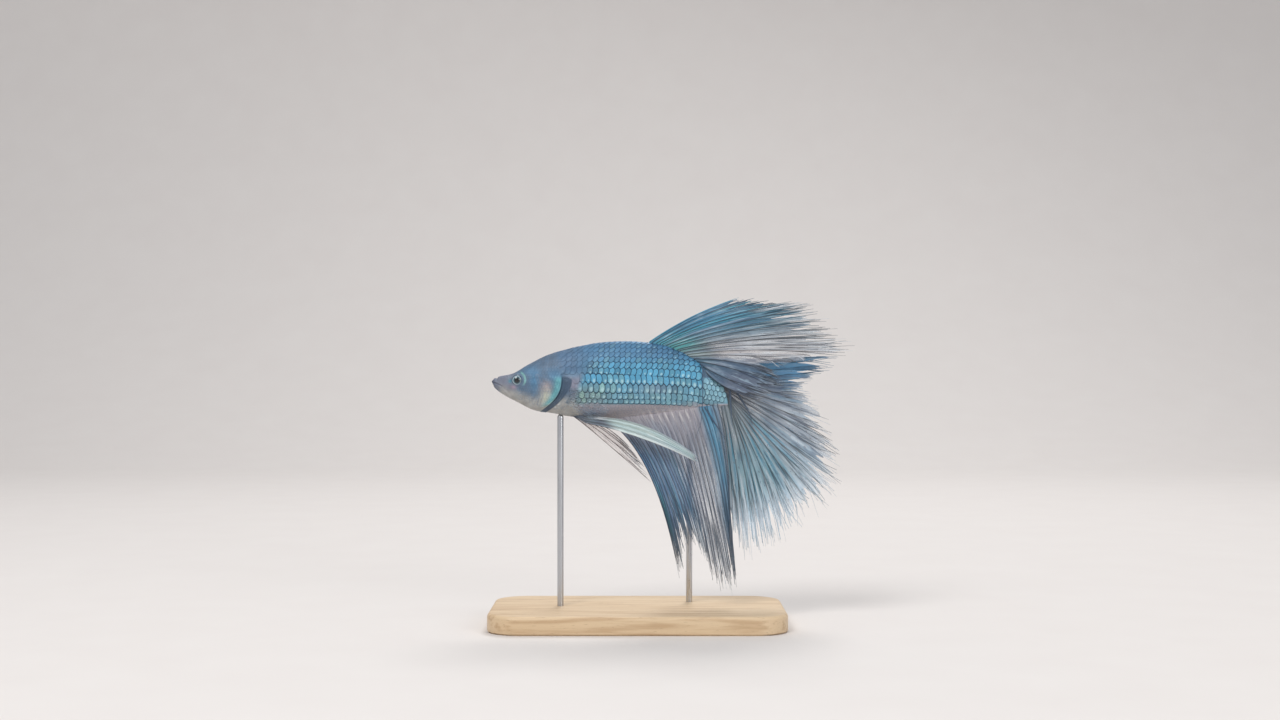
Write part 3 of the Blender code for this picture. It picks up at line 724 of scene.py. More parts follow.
def skin_stations():
    """Where the skin's rings lie: close on the face and gill cover's edge, wide on the trunk."""
    nose = NOSE_LENGTH * (1.0 - np.cos(np.linspace(0.0, np.pi / 2, NOSE_RINGS)[1:]))
    # First and last u, and the step between them
    runs = [(NOSE_LENGTH + 0.0016, 0.19, 0.0018), (0.19, 0.285, 0.003), (0.285, 0.35, 0.0012),
            (0.35, 0.885, 0.006), (0.885, TAIL_END_U - TAIL_ROUND, 0.004)]
    end = TAIL_END_U - TAIL_ROUND + TAIL_ROUND * np.sin(np.linspace(0.0, np.pi / 2, TAIL_RINGS))
    return np.concatenate([nose] + [np.arange(*run) for run in runs] + [end])


def lean_share(u):
    """How much a ring leans with the gill cover's rear edge, and with the end of the tail."""
    ahead = np.clip((u - LEAN_START_U) / (HEAD_END_U - LEAN_START_U), 0.0, 1.0) ** 1.5
    rear = HEAD_END_U + GAP_U
    after = np.clip(1.0 - (u - rear) / (LEAN_END_U - rear), 0.0, 1.0)
    tail = np.clip((u - TRUNK_END_U) / (TAIL_END_U - TRUNK_END_U), 0.0, 1.0) ** 1.3
    return np.where(u < HEAD_END_U, ahead, after), tail


def make_skin(look):
    stations = skin_stations()
    count = len(stations)
    u0, angle = np.meshgrid(stations, circle(AROUND), indexing="ij")
    gill, tail = lean_share(u0)
    at = u0
    for _ in range(10):
        w = body_point(at, angle)[..., 2]
        at = u0 - gill * gill_edge(w) - tail * tail_edge(w)
    points = skin_point(at, angle)
    blunt = np.sqrt(1.0 - (1.0 - np.clip(stations / NOSE_LENGTH, 0.0, 1.0)) ** 2)
    ends = np.clip((stations - (TAIL_END_U - TAIL_ROUND)) / TAIL_ROUND, 0.0, 1.0)
    thin = np.sqrt(np.maximum(1.0 - ends**2, 0.02))
    nose_tip = place(0.0, 0.0, -0.002)
    points[..., 1] *= (blunt * thin)[:, None]
    points[..., 2] = nose_tip[2] + (points[..., 2] - nose_tip[2]) * blunt[:, None]
    tips = [nose_tip, points[-1].mean(0)]
    flat = body_point(at, angle).reshape(-1, 3)
    colours = hide(flat[:, 0], flat[:, 2])
    colours = np.concatenate([colours, colours[:1], colours[-1:]])
    share = (stations - stations[0]) / (stations[-1] - stations[0])
    length = np.concatenate([np.repeat(share, AROUND), [0.0, 1.0]])
    turn = np.concatenate([np.tile(np.arange(AROUND) / AROUND, count), [0.5, 0.5]])

    def uv(corners, counts):
        spots = np.stack([0.01 + 0.98 * length[corners], 0.01 + 0.98 * turn[corners]], 1)
        most = np.repeat(np.maximum.reduceat(turn[corners], first_corners(counts)), counts)
        spots[(most > 0.9) & (turn[corners] < 0.1), 1] += 0.98
        return spots

    skin = add_mesh("fish_skin", np.concatenate([points.reshape(-1, 3), tips]),
                    ball_faces(count, AROUND), look, {"hide": colours}, uv)
    return show(skin, "scaled_skin", "head", "lower_jaw", "gill_cover_left", "gill_cover_right",
                "trunk", "tail_stalk")


# ---------------------------------------------------------------- eyes

def make_eye(side, label, look):
    """A flattened ball with a slightly raised cornea."""
    surface, normal = left_spot(EYE_U, EYE_W)
    rings, sides = 36, 56
    tilt, turn = np.meshgrid(np.linspace(0, np.pi, rings + 1)[1:-1], circle(sides), indexing="ij")
    across = np.sin(tilt)
    cornea = CORNEA_RISE * bump(across, 0.0, 0.45) * (tilt < np.pi / 2)
    out = np.cos(tilt) * EYE_FLATTENING + cornea
    local = np.stack([across * np.cos(turn), -out, across * np.sin(turn)], -1).reshape(-1, 3)
    tips = [[0, -EYE_FLATTENING - CORNEA_RISE, 0], [0, EYE_FLATTENING, 0]]
    points = surface - normal * EYE_DEPTH + np.concatenate([local, tips]) * EYE_RADIUS
    points[:, 1] *= -side
    away = np.concatenate([(across / np.sin(1.15)).ravel(), [0.0, 0.0]])
    away[np.concatenate([(tilt > np.pi / 2).ravel(), [False, True]])] = 1.2
    turn = np.concatenate([turn.ravel(), [0.0, 0.0]])
    spot = np.stack([away, np.abs(turn - np.pi), 0 * away], 1)
    faces = turned(ball_faces(rings - 1, sides), side > 0)
    eye = add_mesh("eye_ball_" + label, points, faces, look, {"spot": spot})
    return show(eye, "eyeball", "eye_" + label)


# ---------------------------------------------------------------- scales

TABLE_U = np.linspace(0.0, 1.02, 256)
TABLE_ANGLE = np.radians(np.linspace(-130.0, 130.0, 521))
TABLE_ARC = np.linspace(-0.36, 0.36, 481)


def arc_table():
    """For every u, the angle that lies each distance round the body from the middle row."""
    u, angle = np.meshgrid(TABLE_U, TABLE_ANGLE, indexing="ij")
    around = body_point(u, angle)
    steps = np.linalg.norm(np.diff(around, axis=1), axis=-1)
    arc = np.concatenate([np.zeros((len(TABLE_U), 1)), np.cumsum(steps, 1)], 1)
    middle = angle_at(TABLE_U, smooth(MIDDLE_ROW, TABLE_U))
    angles, tops, bottoms = [], [], []
    for k in range(len(TABLE_U)):
        own = arc[k] - np.interp(middle[k], TABLE_ANGLE, arc[k])
        angles.append(np.interp(TABLE_ARC, own, TABLE_ANGLE))
        tops.append(np.interp(np.pi / 2, TABLE_ANGLE, own))
        bottoms.append(np.interp(-np.pi / 2, TABLE_ANGLE, own))
    return np.array(angles), np.array(tops), np.array(bottoms)


ANGLES, ARC_TOP, ARC_BOTTOM = arc_table()


def angle_of_arc(u, arc):
    """Angles interpolated in the table ANGLES."""
    x = np.clip((u - TABLE_U[0]) / (TABLE_U[1] - TABLE_U[0]), 0, len(TABLE_U) - 1.001)
    y = np.clip((arc - TABLE_ARC[0]) / (TABLE_ARC[1] - TABLE_ARC[0]), 0, len(TABLE_ARC) - 1.001)
    i, j = x.astype(int), y.astype(int)
    low, high = (lerp(ANGLES[k, j], ANGLES[k, j + 1], y - j) for k in (i, i + 1))
    return lerp(low, high, x - i)


SECTORS = 24
PLATE_RINGS = (0.34, 0.6, 0.78, 0.9, 1.0)
PLATE_HALF_HEIGHT = 0.7
PLATE_REAR = 0.56
PLATE_ROOT = 1.1
# Half the width of a scale's patch of the OFBake map, and the way from it to its margin's patch
PATCH = 0.0015
MARGIN_PATCH = 0.007
SCALE_GLINT = tone(172, 212, 186)


def plate_net():
    """A scale's points, as shares of its pitch (a) and its row's height (b), its middle first and
    the rim of its back last, with how near its margin each is and which are on its back."""
    across, up = np.cos(circle(SECTORS)), PLATE_HALF_HEIGHT * np.sin(circle(SECTORS))
    rear = PLATE_REAR * np.abs(across) ** 1.15
    along = np.where(across > 0, rear, -PLATE_ROOT * np.abs(across) ** 0.8)
    a, b = (np.concatenate([[0.0], np.outer(PLATE_RINGS, x).ravel(), x * 0.985])
            for x in (along, up))
    edge = np.concatenate([[0.0], np.repeat(PLATE_RINGS, SECTORS), np.ones(SECTORS)])
    under = np.concatenate([np.zeros(1 + len(PLATE_RINGS) * SECTORS), np.ones(SECTORS)])
    return a, b, edge, under


def plate_faces():
    ring = np.arange(SECTORS)
    middle = np.stack([0 * ring, ring + 1, (ring + 1) % SECTORS + 1], 1)
    rest = 1 + grid_faces(len(PLATE_RINGS) + 1, SECTORS, closed=True)
    back = (1 + len(PLATE_RINGS) * SECTORS + ring)[::-1][None]
    return [middle, rest, back]


def plate_colours(flat, line, blended, random):
    """The scales' colours from their points in body units."""
    centre = flat[:, :1]
    own = 1.0 - (1.0 - blended) * ramp(centre[..., :1], 0.36, 0.44)
    seen = lerp(centre, flat, own)
    glow = random.normal(0.0, 1.0, (len(flat), 2)) * line
    colour = hide(seen[..., 0], seen[..., 2]) * (1.0 + 0.12 * glow[:, None, :1])
    low_front = fall(centre[..., 0], 0.4, 0.62) * fall(centre[..., 2], -0.02, 0.05)
    glint = (0.1 + 0.35 * low_front) * np.clip(glow[:, 1:] - 0.3, 0.0, 1.0)
    return np.clip(layer(colour, SCALE_GLINT, glint), 0.01, 0.9).reshape(-1, 3)


def make_scales(name, slot, look, rows, side, seed, blended):
    """rows is an array of scales: u and arc of each one's middle, its pitch, its row's height,
    how far its tip stands off the skin and the strength of its dark margin. A scale has its
    middle's colour where blended is 0, and the markings run on across it where blended is 1."""
    random = np.random.default_rng(seed)
    u, arc, pitch, high, lift, line = (column[:, None] for column in rows.T)
    count = len(u)
    a, b, edge, under = plate_net()
    above = high * b
    behind = pitch * a * random.uniform(0.94, 1.06, count)[:, None] + above * scale_slant(arc)
    along_u = u + behind
    angle = angle_of_arc(along_u, arc + above)
    rise = (a + PLATE_ROOT) / (PLATE_ROOT + PLATE_REAR)
    height = lift * (1.35 * rise - 0.35) - PLATE_THICKNESS * (0.3 * edge**6 + under)
    height = height + lift * 0.22 * (1 - (b / PLATE_HALF_HEIGHT) ** 2) * (1 - rise)
    points = skin_point(along_u, angle, height)
    points[..., 1] *= -side
    faces = turned(repeated(plate_faces(), count, len(a)), side > 0)
    flat = body_point(along_u, angle)
    colour = plate_colours(flat, line, blended, random)
    fan = np.stack([7.0 * np.arctan2(b, a + 1.3), 0 * a, 0 * a], 1)
    spark = np.hypot((a - 0.06) / 0.3, (b + 0.2) / 0.26)
    dim = random.uniform(-0.3, 0.7, count) + 0.45 * ramp(flat[:, 0, 2], 0.015, 0.06)
    roots = (0.02 + 0.95 * (x - x.min()) / max(np.ptp(x), 0.01) for x in (u, arc))
    spots = [root + PATCH * x for root, x in zip(roots, (a / PLATE_ROOT, b / PLATE_HALF_HEIGHT))]
    spots = np.stack(spots, -1).reshape(-1, 2)

    def uv(corners, counts):
        """Each plate is a small patch at its root's place, and its dark margin one beside it."""
        placed = spots[corners]
        far = np.add.reduceat(np.tile(edge, count)[corners], first_corners(counts)) / counts
        placed[np.repeat(far > 0.84, counts), 1] += MARGIN_PATCH
        return placed

    made = add_mesh(name, points, faces, look, {
        "hide": colour, "edge": np.tile(edge, count), "line": np.repeat(line, len(a)),
        "fan": np.tile(fan, (count, 1)), "glint": np.tile(spark, count) + np.repeat(dim, len(a)),
    }, uv)
    return show(made, slot)


def row_edges(pitches):
    """Middles and heights of rows that lie one beside another."""
    edges = np.concatenate([[0.0], np.cumsum(pitches)])
    return [(0.5 * (edges[k] + edges[k + 1]), abs(pitches[k])) for k in range(len(pitches))]


FACE_END_U = 0.178
BELLY_SCALES_W = -0.103
ROWS_UP = [0.037, 0.029, 0.025, 0.023] + [0.022] * 9
ROWS_DOWN = [-0.037, -0.028] + [-0.021] * 6


def even_rows(pitch, below, above):
    """Rows of one height below and above the middle row's level, from the lowest up."""
    return row_edges([-pitch] * below)[::-1] + row_edges([pitch] * above)


def lattice(rows, start, end, pitch, keep, lift):
    """Staggered rows of scales between two stations, where keep(u, w) allows them."""
    made = []
    for k, (arc, high) in enumerate(rows):
        step = pitch * (0.88 + 0.12 * min(high / 0.036, 1.0))
        u = start + (0.5 * step if k % 2 else 0.0) + 0.55 * max(arc - 0.055, 0.0)
        while u < end:
            angle = angle_of_arc(np.array([u]), np.array([arc]))
            w = float(body_point(np.array([u]), angle)[0, 2])
            low = np.interp(u, TABLE_U, ARC_BOTTOM) + 0.6 * high
            top = np.interp(u, TABLE_U, ARC_TOP) - 0.2 * high
            if low < arc < top and keep(u, w):
                made.append((u, arc, step, high, lift, float(scale_contrast(u, w))))
            u += step
    return made


def on_trunk(u, w):
    start = membrane_width(w) + 0.016 if w < MEMBRANE_TOP_W else -0.006
    return past_cover(u, w) > start and w > BELLY_SCALES_W


def on_belly(u, w):
    return past_cover(u, w) > membrane_width(w) + 0.013 and w < BELLY_SCALES_W + 0.004


def on_stalk(u, w):
    return stalk_top(u, w) < -0.004 and u < TAIL_END_U - tail_edge(w) - 0.007


def on_stalk_top(u, w):
    return stalk_top(u, w) > 0.0 and u < TAIL_END_U - tail_edge(w) - 0.012


def on_head(u, w):
    """Where the head has scales: not round the eye, at the gill cover's edge or on the chin."""
    clear_eye = math.hypot(u - EYE_U, w - EYE_W) > 0.034
    inside = float(behind_gill(np.array(u), np.array(w))) < -0.008
    clear_edge = w > GILL_COVER_TOP_W - 0.006 or inside
    return clear_eye and clear_edge and w > smooth(BELLY, u) + 0.016


def on_cover(u, w):
    return on_head(u, w) and u > FACE_END_U


def on_face(u, w):
    return on_head(u, w) and u <= FACE_END_U and w > -0.035 - 0.35 * u


TRUNK_ROWS = row_edges(ROWS_DOWN)[::-1] + row_edges(ROWS_UP)
COVER_ROWS = even_rows(0.0145, 12, 12)
# Fields of scales: name, slot, seed, how far the markings run on across a scale, rows, first
# and last u, pitch, where the scales may lie and how far their tips stand off the skin
SCALE_FIELDS = [
    ("stalk", "scaled_skin", 61, 1.0, COVER_ROWS, 0.893, 0.985, 0.0128, on_stalk_top, 0.00004),
    ("trunk", "scaled_skin", 11, 0.25, TRUNK_ROWS, 0.27, 0.896, 0.0236, on_trunk, 0.000085),
    ("cover", "gill_cover_skin", 21, 1.0, COVER_ROWS, 0.15, 0.3, 0.0128, on_cover, 0.000048),
    ("face", "face_skin", 41, 1.0, even_rows(0.0105, 12, 14), 0.118, FACE_END_U, 0.0094,
     on_face, 0.000038),
    ("tail", "scaled_skin", 31, 0.5, even_rows(0.022, 4, 4), 0.906, 0.998, 0.019,
     on_stalk, 0.00006),
    ("belly", "scaled_skin", 51, 1.0, even_rows(0.0135, 14, 0), 0.27, 0.96, 0.0124,
     on_belly, 0.00003)]


def make_all_scales(look):
    fields = [(*field[:4], np.array(lattice(*field[4:]))) for field in SCALE_FIELDS]
    for side, label in SIDES:
        for part, slot, seed, blended, rows in fields:
            name = "scales_" + part + "_" + label
            make_scales(name, slot, look, rows, side, seed + side, blended)


# ---------------------------------------------------------------- fins

def bezier(a, b, c, s):
    """The place s of the way from a to c on a curve that bends toward b."""
    return a * (1 - s) ** 2 + b * 2 * s * (1 - s) + c * s**2


ROOT_DEPTH = 0.03
LONGEST_RAY = 1.035
WEB_ROWS = 44
WEB_PALE = tone(212, 214, 216)
TIP_WHITE = tone(212, 218, 224)


def fan_surface(base, keys, sway, sink):
    """A fin as a function of t along its base and s along its rays.

    keys are rays: t, and the u and w of the ray's bend and of its tip. Where s is below 0 the
    fin runs on into the flesh, along sink (u, w) for every ROOT_DEPTH of s.
    """
    def surface(t, s):
        t = np.clip(t, 0.0, 1.0)
        root_u, root_v, root_w = base(t)
        bend_u, bend_w, tip_u, tip_w = (smooth([(key[0], key[part]) for key in keys], t)
                                        for part in range(1, 5))
        free = np.maximum(s, 0.0)
        buried = np.maximum(-s, 0.0) / ROOT_DEPTH
        u = bezier(root_u, bend_u, tip_u, free) + sink[0] * buried
        w = bezier(root_w, bend_w, tip_w, free) + sink[1] * buried
        return place(u, root_v + sway(t, np.clip(s, 0.0, 1.2)), w)
    return surface


def fin_normal(surface, t, s):
    """The way out of a fin's side."""
    step = 0.004
    along = surface(np.minimum(t + step, 1.0), s) - surface(np.maximum(t - step, 0.0), s)
    outward = surface(t, s + step) - surface(t, s - step)
    return unit(np.cross(along, outward))


def wave(t, s, turns, lean, phase, height):
    """A wave over the rays that grows toward their tips."""
    return height * s**1.3 * np.sin(2 * np.pi * (turns * t + lean * s) + phase)


def slab(front, back):
    """Closed thin solid between two grids of points."""
    rows, columns = front.shape[:2]
    size = rows * columns
    index = np.arange(size).reshape(rows, columns)
    rim = np.concatenate([index[0, :], index[1:, -1], index[-1, -2::-1], index[-2:0:-1, 0]])
    after = np.roll(rim, -1)
    faces = [grid_faces(rows, columns, flip=True), grid_faces(rows, columns) + size,
             np.stack([rim, rim + size, after + size, after], 1)]
    return np.concatenate([front.reshape(-1, 3), back.reshape(-1, 3)]), faces


def pleat(q, s, fold):
    """Height of the web's folds: a ridge at every ray, and finer ones past the forks."""
    near = np.cos(2 * np.pi * q) * fall(s, 0.45, 0.85)
    far = 0.5 * np.cos(4 * np.pi * q + np.pi) * ramp(s, 0.45, 0.85)
    return fold * ramp(s, 0.0, 0.25) * (near + far)


def filaments(rays, seed, tip_low, tip_high, forks, hairs, own):
    """Paths of the branching rays, and of finer hairs that start near the margin.

    Each is: ray, offset past each fork, the forks, start, end, a random share and a drift.
    """
    random = np.random.default_rng(seed)
    made = []
    for k in range(rays):
        first = forks[0] + 0.12 * random.random()
        second = forks[1] + 0.1 * random.random()
        branches = [(-0.25, -0.125, 0.0), (0.25, 0.125, first), (-0.25, 0.125, second),
                    (0.25, -0.125, second)]
        for big, small, start in branches:
            end = random.uniform(tip_low, tip_high) + own[k]
            made.append((k, big, small, first, second, start, end,
                         random.random(), 0.06 * random.normal()))
        for _ in range(hairs):
            end = random.uniform(tip_low - 0.04, tip_high + 0.03) + own[k]
            made.append((k + random.uniform(-0.5, 0.5), 0.0, 0.0, first, second,
                         random.uniform(0.62, 0.8), end, random.random(), 0.16 * random.normal()))
    made = np.array(made)
    made[:, 6] = np.minimum(made[:, 6], LONGEST_RAY)
    return made


def path_place(path, s, rays):
    """Which ray, in fractions, each filament lies at when it has come to s."""
    root, big, small, first, second, _, _, _, drift = (column[:, None] for column in path.T)
    fork_one = big * ramp(s, first - 0.02, 1.0) ** 0.8
    fork_two = small * ramp(s, second - 0.02, 1.0) ** 0.8
    curl = 1.6 * drift * ramp(s, 0.82, 1.06)
    return np.clip(root + fork_one + fork_two + drift * s + curl, 0.0, rays - 1.0)


def streaks(rays, random):
    """Two random fields, 0 to 1, that change across the rays and slowly along them."""
    grid = np.linspace(0.0, rays - 1.0, 5 * rays)
    near, far = random.uniform(0.0, 1.0, (2, 2, len(grid)))

    def field(q, s):
        share = ramp(s, 0.25, 0.85)
        return [lerp(*(np.interp(q, grid, x) for x in pair), share) for pair in zip(near, far)]

    return field


class Fin:
    """A web between branching rays. q counts rays, which are unevenly spaced along the base.

    tint gives the colour, the opacity, the rays' darkness and the paleness between rays.
    fold is the height of the web's folds.
    """

    def __init__(self, surface, rays, tint, seed, fold=0.00008):
        self.surface, self.rays, self.tint, self.seed, self.fold = surface, rays, tint, seed, fold
        self.random = np.random.default_rng(seed)
        shift = self.random.uniform(-0.26, 0.26, rays)
        shift[[0, -1]] = 0.0
        self.marks = (np.arange(rays) + shift) / (rays - 1)
        self.field = streaks(rays, self.random)
        self.own = self.random.uniform(-0.05, 0.03, rays)

    def laid(self, q, s):
        """The fin's t, its middle surface, its normal and its tints at ray q."""
        t = np.interp(q, np.arange(self.rays), self.marks)
        middle, normal = self.surface(t, s), fin_normal(self.surface, t, s)
        middle = middle + normal * pleat(q, s, self.fold)[..., None]
        return t, middle, normal, self.tint(t, s, self.field(q, s), *body_units(middle))

    def web(self, name, look, ends=(0.8, 0.96), fine=20):
        """ends are the least and greatest s at its margin, fine its points from ray to ray."""
        last = self.rays - 1
        q = np.linspace(0.0, last, last * fine + 1)
        phase = q % 1.0
        notch = self.random.uniform(0.45, 1.15, self.rays)[q.astype(int)]
        jags = 9 * self.rays
        jag = np.interp(q, np.linspace(0, last, jags), self.random.uniform(-0.02, 0.02, jags))
        depth = notch * np.sin(np.pi * phase) ** 4 + 0.25 * np.cos(4 * np.pi * phase) ** 2
        own = np.interp(q, np.arange(self.rays), self.own)
        end = ends[1] + own + jag - (ends[1] - ends[0]) * depth
        down = np.linspace(0.0, 1.0, WEB_ROWS)[:, None]
        s = -ROOT_DEPTH + (end[None] + ROOT_DEPTH) * down**0.92
        q = np.broadcast_to(q, s.shape)
        t, middle, normal, (colour, clear, dark, pale) = self.laid(q, s)
        half = normal * (WEB_THICKNESS * (1.0 - 0.5 * ramp(s, 0.3, 1.0)))[..., None] / 2
        points, faces = slab(middle + half, middle - half)
        amid = np.broadcast_to(np.abs(np.sin(np.pi * phase)), s.shape)
        colour = colour * (1.0 - 0.4 * dark * (1.0 - amid) ** 4)[..., None]
        colour = layer(colour, WEB_PALE, pale * amid**2)
        spot = np.stack([q, s * 10.0, np.full(q.shape, self.seed * 3.0)], -1)
        colour, clear, spot = (np.concatenate([x.reshape(-1, *x.shape[2:])] * 2)
                               for x in (colour, clear, spot))
        side = np.stack([0.01 + 0.98 * t, 0.025 + 0.45 * s], -1).reshape(-1, 2)
        return add_mesh(name, points, faces, look, {"hide": colour, "clear": clear, "spot": spot},
                        np.concatenate([side, side + (0.0, 0.5)]))

    def branches(self, name, look, tips=(0.93, 1.02), radius=(0.00011, 0.00005),
                 forks=(0.42, 0.7), hairs=4, whites=0.45, white_span=(0.1, 1.01)):
        """tips are the least and greatest s at which rays end, radius is theirs at root and tip,
        forks are where they branch and hairs how many fine hairs come with each. whites is the
        share of tips that are white, and white_span the part of the base (t) that has them."""
        path = filaments(self.rays, self.seed + 1, *tips, forks, hairs, self.own)
        steps, sides = 18, 6
        f = np.linspace(0.0, 1.0, steps)[None]
        hair, end, chance = (path[:, k:k + 1] for k in (5, 6, 7))
        start = np.where(hair == 0.0, -ROOT_DEPTH, hair)
        s = start + (end - start) * f
        q = path_place(path, s, self.rays)
        t, middle, normal, (colour, _, dark, _) = self.laid(q, s)
        ahead = unit(np.gradient(middle, axis=1))
        size = lerp(*radius, np.clip(s, 0, 1) ** 0.8) * (1.0 - 0.6 * ramp(s, 0.9, 1.04))
        size = size * np.where(hair > 0.0, lerp(0.25, 1.0, ramp(f, 0.0, 0.15)), 1.0)
        points = rings_round(middle, normal, unit(np.cross(ahead, normal)), size, sides)
        shade = np.clip(colour * (1.0 - 0.85 * dark[..., None]), 0.0, 0.9)
        inside = (t > white_span[0]) & (t < white_span[1])
        white = (chance > 1.0 - whites) * inside * ramp(s, 0.68, 0.86)
        shade = layer(shade, TIP_WHITE, 0.8 * white)
        spot = np.stack([q, s * 10.0, np.broadcast_to(chance * 9.0, s.shape)], -1)
        shade, spot = (np.repeat(x[:, :, None], sides, 2).reshape(-1, 3) for x in (shade, spot))
        faces = repeated(tube_faces(steps, sides), len(path), steps * sides)
        return add_mesh(name, points, faces, look, {"hide": shade, "spot": spot})


def make_fin(name, slot, node_name, looks, fin, web=(), **branches):
    """web and branches are what the fin's methods of those names take."""
    show(fin.web(name + "_web", looks[0], **dict(web)), slot, node_name)
    show(fin.branches(name + "_rays", looks[1], **branches), slot, node_name)


def zones(x, *stations):
    """Colours blended between stations (position, red, green, blue)."""
    at = [s[0] for s in stations]
    colours = np.array([tone(*s[1:]) for s in stations])
    return np.stack([np.interp(x, at, colours[:, channel]) for channel in range(3)], -1)


FIN_SINK = 0.006
FIN_TEAL = tone(52, 138, 166)
FIN_BLUE = tone(66, 124, 152)
FIN_SLATE = tone(94, 108, 128)
FIN_PALE = tone(196, 206, 216)


def edge_base(start, end, edge, sink, v=0.0):
    """A fin's base along the back or the belly, sunk into the flesh."""
    def base(t):
        u = lerp(start, end, t)
        return u, v + 0 * t, smooth(edge, u) + sink
    return base


def dorsal_surface():
    keys = [(0.0, 0.83, 0.28, 1.036, 0.35), (0.12, 0.89, 0.288, 1.204, 0.34),
            (0.3, 0.936, 0.251, 1.362, 0.308), (0.5, 0.991, 0.196, 1.443, 0.212),
            (0.7, 1.055, 0.14, 1.485, 0.115), (0.78, 1.05, 0.108, 1.215, 0.052),
            (0.86, 1.04, 0.081, 1.24, -0.01), (1.0, 0.955, -0.042, 1.15, -0.082)]

    def sway(t, s):
        return -0.095 * t**2 * s**0.9 + wave(t, s, 1.9, 0.35, 0.4, 0.026)

    base = edge_base(DORSAL_START_U, DORSAL_END_U, BACK, -FIN_SINK)
    return fan_surface(base, keys, sway, (0.0, -0.03))


def dorsal_tint(t, s, streak, u, w):
    rear = ramp(t, 0.3, 0.45) * fall(t, 0.75, 0.82)
    front = zones(t, (0.0, 48, 118, 152), (0.25, 56, 132, 162), (0.4, 90, 128, 148),
                  (0.58, 138, 142, 148), (0.72, 168, 164, 166), (0.8, 80, 98, 120),
                  (0.86, 64, 90, 114), (1.0, 58, 86, 110))
    colour = paint(
        front,
        (FIN_BLUE, 0.7 * ramp(s, 0.5, 0.8) * fall(t, 0.3, 0.45)),
        (tone(64, 150, 150), 0.8 * bump(t, 0.45, 0.3) * fall(s, 0.1, 0.34)),
        (FIN_SLATE, 0.7 * ramp(streak[0], 0.55, 0.8) * rear),
        (FIN_PALE, 0.8 * ramp(streak[1], 0.5, 0.75) * rear * ramp(s, 0.25, 0.5)),
        (FIN_SLATE, 0.55 * ramp(streak[0], 0.5, 0.75) * (1 - rear)),
        (tone(78, 168, 186), 0.5 * ramp(streak[1], 0.6, 0.85) * fall(t, 0.3, 0.5)),
        (tone(98, 104, 120), 0.6 * ramp(t, 0.86, 0.92) * ramp(s, 0.35, 0.55)),
        (FIN_PALE, 0.5 * ramp(s, 0.8, 1.0) * ramp(t, 0.1, 0.3)))
    clear = 0.86 - 0.38 * ramp(t, 0.3, 0.62) - 0.18 * ramp(s, 0.7, 1.0) + 0.5 * ramp(t, 0.76, 0.84)
    clear = clear + 0.4 * fall(s, 0.1, 0.35)
    dark = 0.78 + 0.08 * ramp(t, 0.3, 0.6) - 0.9 * bump(t, 0.0, 0.03)
    return colour, clear, dark, 0.45 * bump(t, 0.63, 0.11) * ramp(s, 0.3, 0.6)


def caudal_surface():
    keys = [(0.0, 1.13, 0.11, 1.462, 0.104), (0.07, 1.16, 0.05, 1.43, 0.046),
            (0.15, 1.164, -0.02, 1.36, -0.026), (0.26, 1.183, -0.081, 1.43, -0.17),
            (0.38, 1.204, -0.166, 1.472, -0.328), (0.5, 1.204, -0.251, 1.464, -0.464),
            (0.63, 1.183, -0.294, 1.336, -0.613), (0.76, 1.125, -0.315, 1.196, -0.698),
            (0.88, 1.062, -0.31, 1.106, -0.745), (1.0, 0.965, -0.27, 0.99, -0.69)]

    def base(t):
        w = lerp(0.012, -0.1, t)
        wrap = ramp(t, 0.84, 1.0)
        return TAIL_END_U - tail_edge(w) - FIN_SINK - 0.036 * wrap, 0 * t, w - 0.004 * wrap

    def sway(t, s):
        away = 0.06 * s**0.8 + 0.03 * s * (1.0 - t)
        return away + wave(t, s, 2.3, 0.3, 2.6, 0.034)

    return fan_surface(base, keys, sway, (-0.03, 0.0))


def caudal_tint(t, s, streak, u, w):
    near = zones(t, (0.0, 84, 112, 136), (0.1, 96, 104, 122), (0.3, 120, 130, 144),
                 (0.6, 122, 138, 148), (0.85, 112, 134, 144), (1.0, 118, 128, 138))
    far = zones(t, (0.0, 84, 142, 180), (0.1, 90, 148, 190), (0.18, 108, 138, 166),
                (0.3, 126, 140, 156), (0.52, 122, 146, 162), (0.66, 102, 154, 172),
                (0.85, 100, 144, 158), (1.0, 100, 140, 156))
    low, tip = ramp(t, 0.36, 0.55), ramp(s, 0.78, 0.95)
    slate = ramp(streak[1], 0.55, 0.8) * (1 - 0.5 * low) * ramp(t, 0.08, 0.2)
    pale = ramp(1 - streak[1], 0.62, 0.85) * ramp(s, 0.4, 0.7) * (1 - 0.8 * bump(t, 0.04, 0.08))
    fold = bump(t, 0.15, 0.055) * ramp(s, 0.03, 0.12) * fall(s, 0.62, 0.8)
    fold = np.maximum(fold, 0.8 * fall(t, 0.02, 0.12) * fall(s, 0.15, 0.35))
    colour = paint(
        near,
        (far, ramp(s, 0.25, 0.55)),
        (FIN_TEAL, (0.25 + 0.65 * low) * ramp(streak[0], 0.48, 0.72) * ramp(s, 0.12, 0.4)),
        (FIN_SLATE, 0.55 * slate),
        (FIN_PALE, 0.5 * pale),
        (FIN_PALE, 0.75 * tip * (1 - 0.9 * bump(t, 0.04, 0.09)) * (1 - low)),
        (tone(198, 224, 242), 0.95 * ramp(s, 0.62, 0.88) * low),
        (tone(88, 92, 108), 0.75 * fold))
    clear = 0.66 + 0.26 * fall(t, 0.08, 0.2) - 0.34 * tip - 0.06 * bump(t, 0.42, 0.12)
    clear = clear - 0.18 * ramp(t, 0.4, 0.7) * ramp(s, 0.7, 0.9)
    dark = (0.86 - 0.3 * bump(t, 0.0, 0.1)) * lerp(0.55, 1.0, ramp(s, 0.04, 0.3))
    dark = dark * (1.0 - 0.55 * ramp(s, 0.7, 0.92) * ramp(t, 0.5, 0.68))
    return colour, clear + 0.3 * fold, dark, 0.25 * low * ramp(s, 0.45, 0.8)


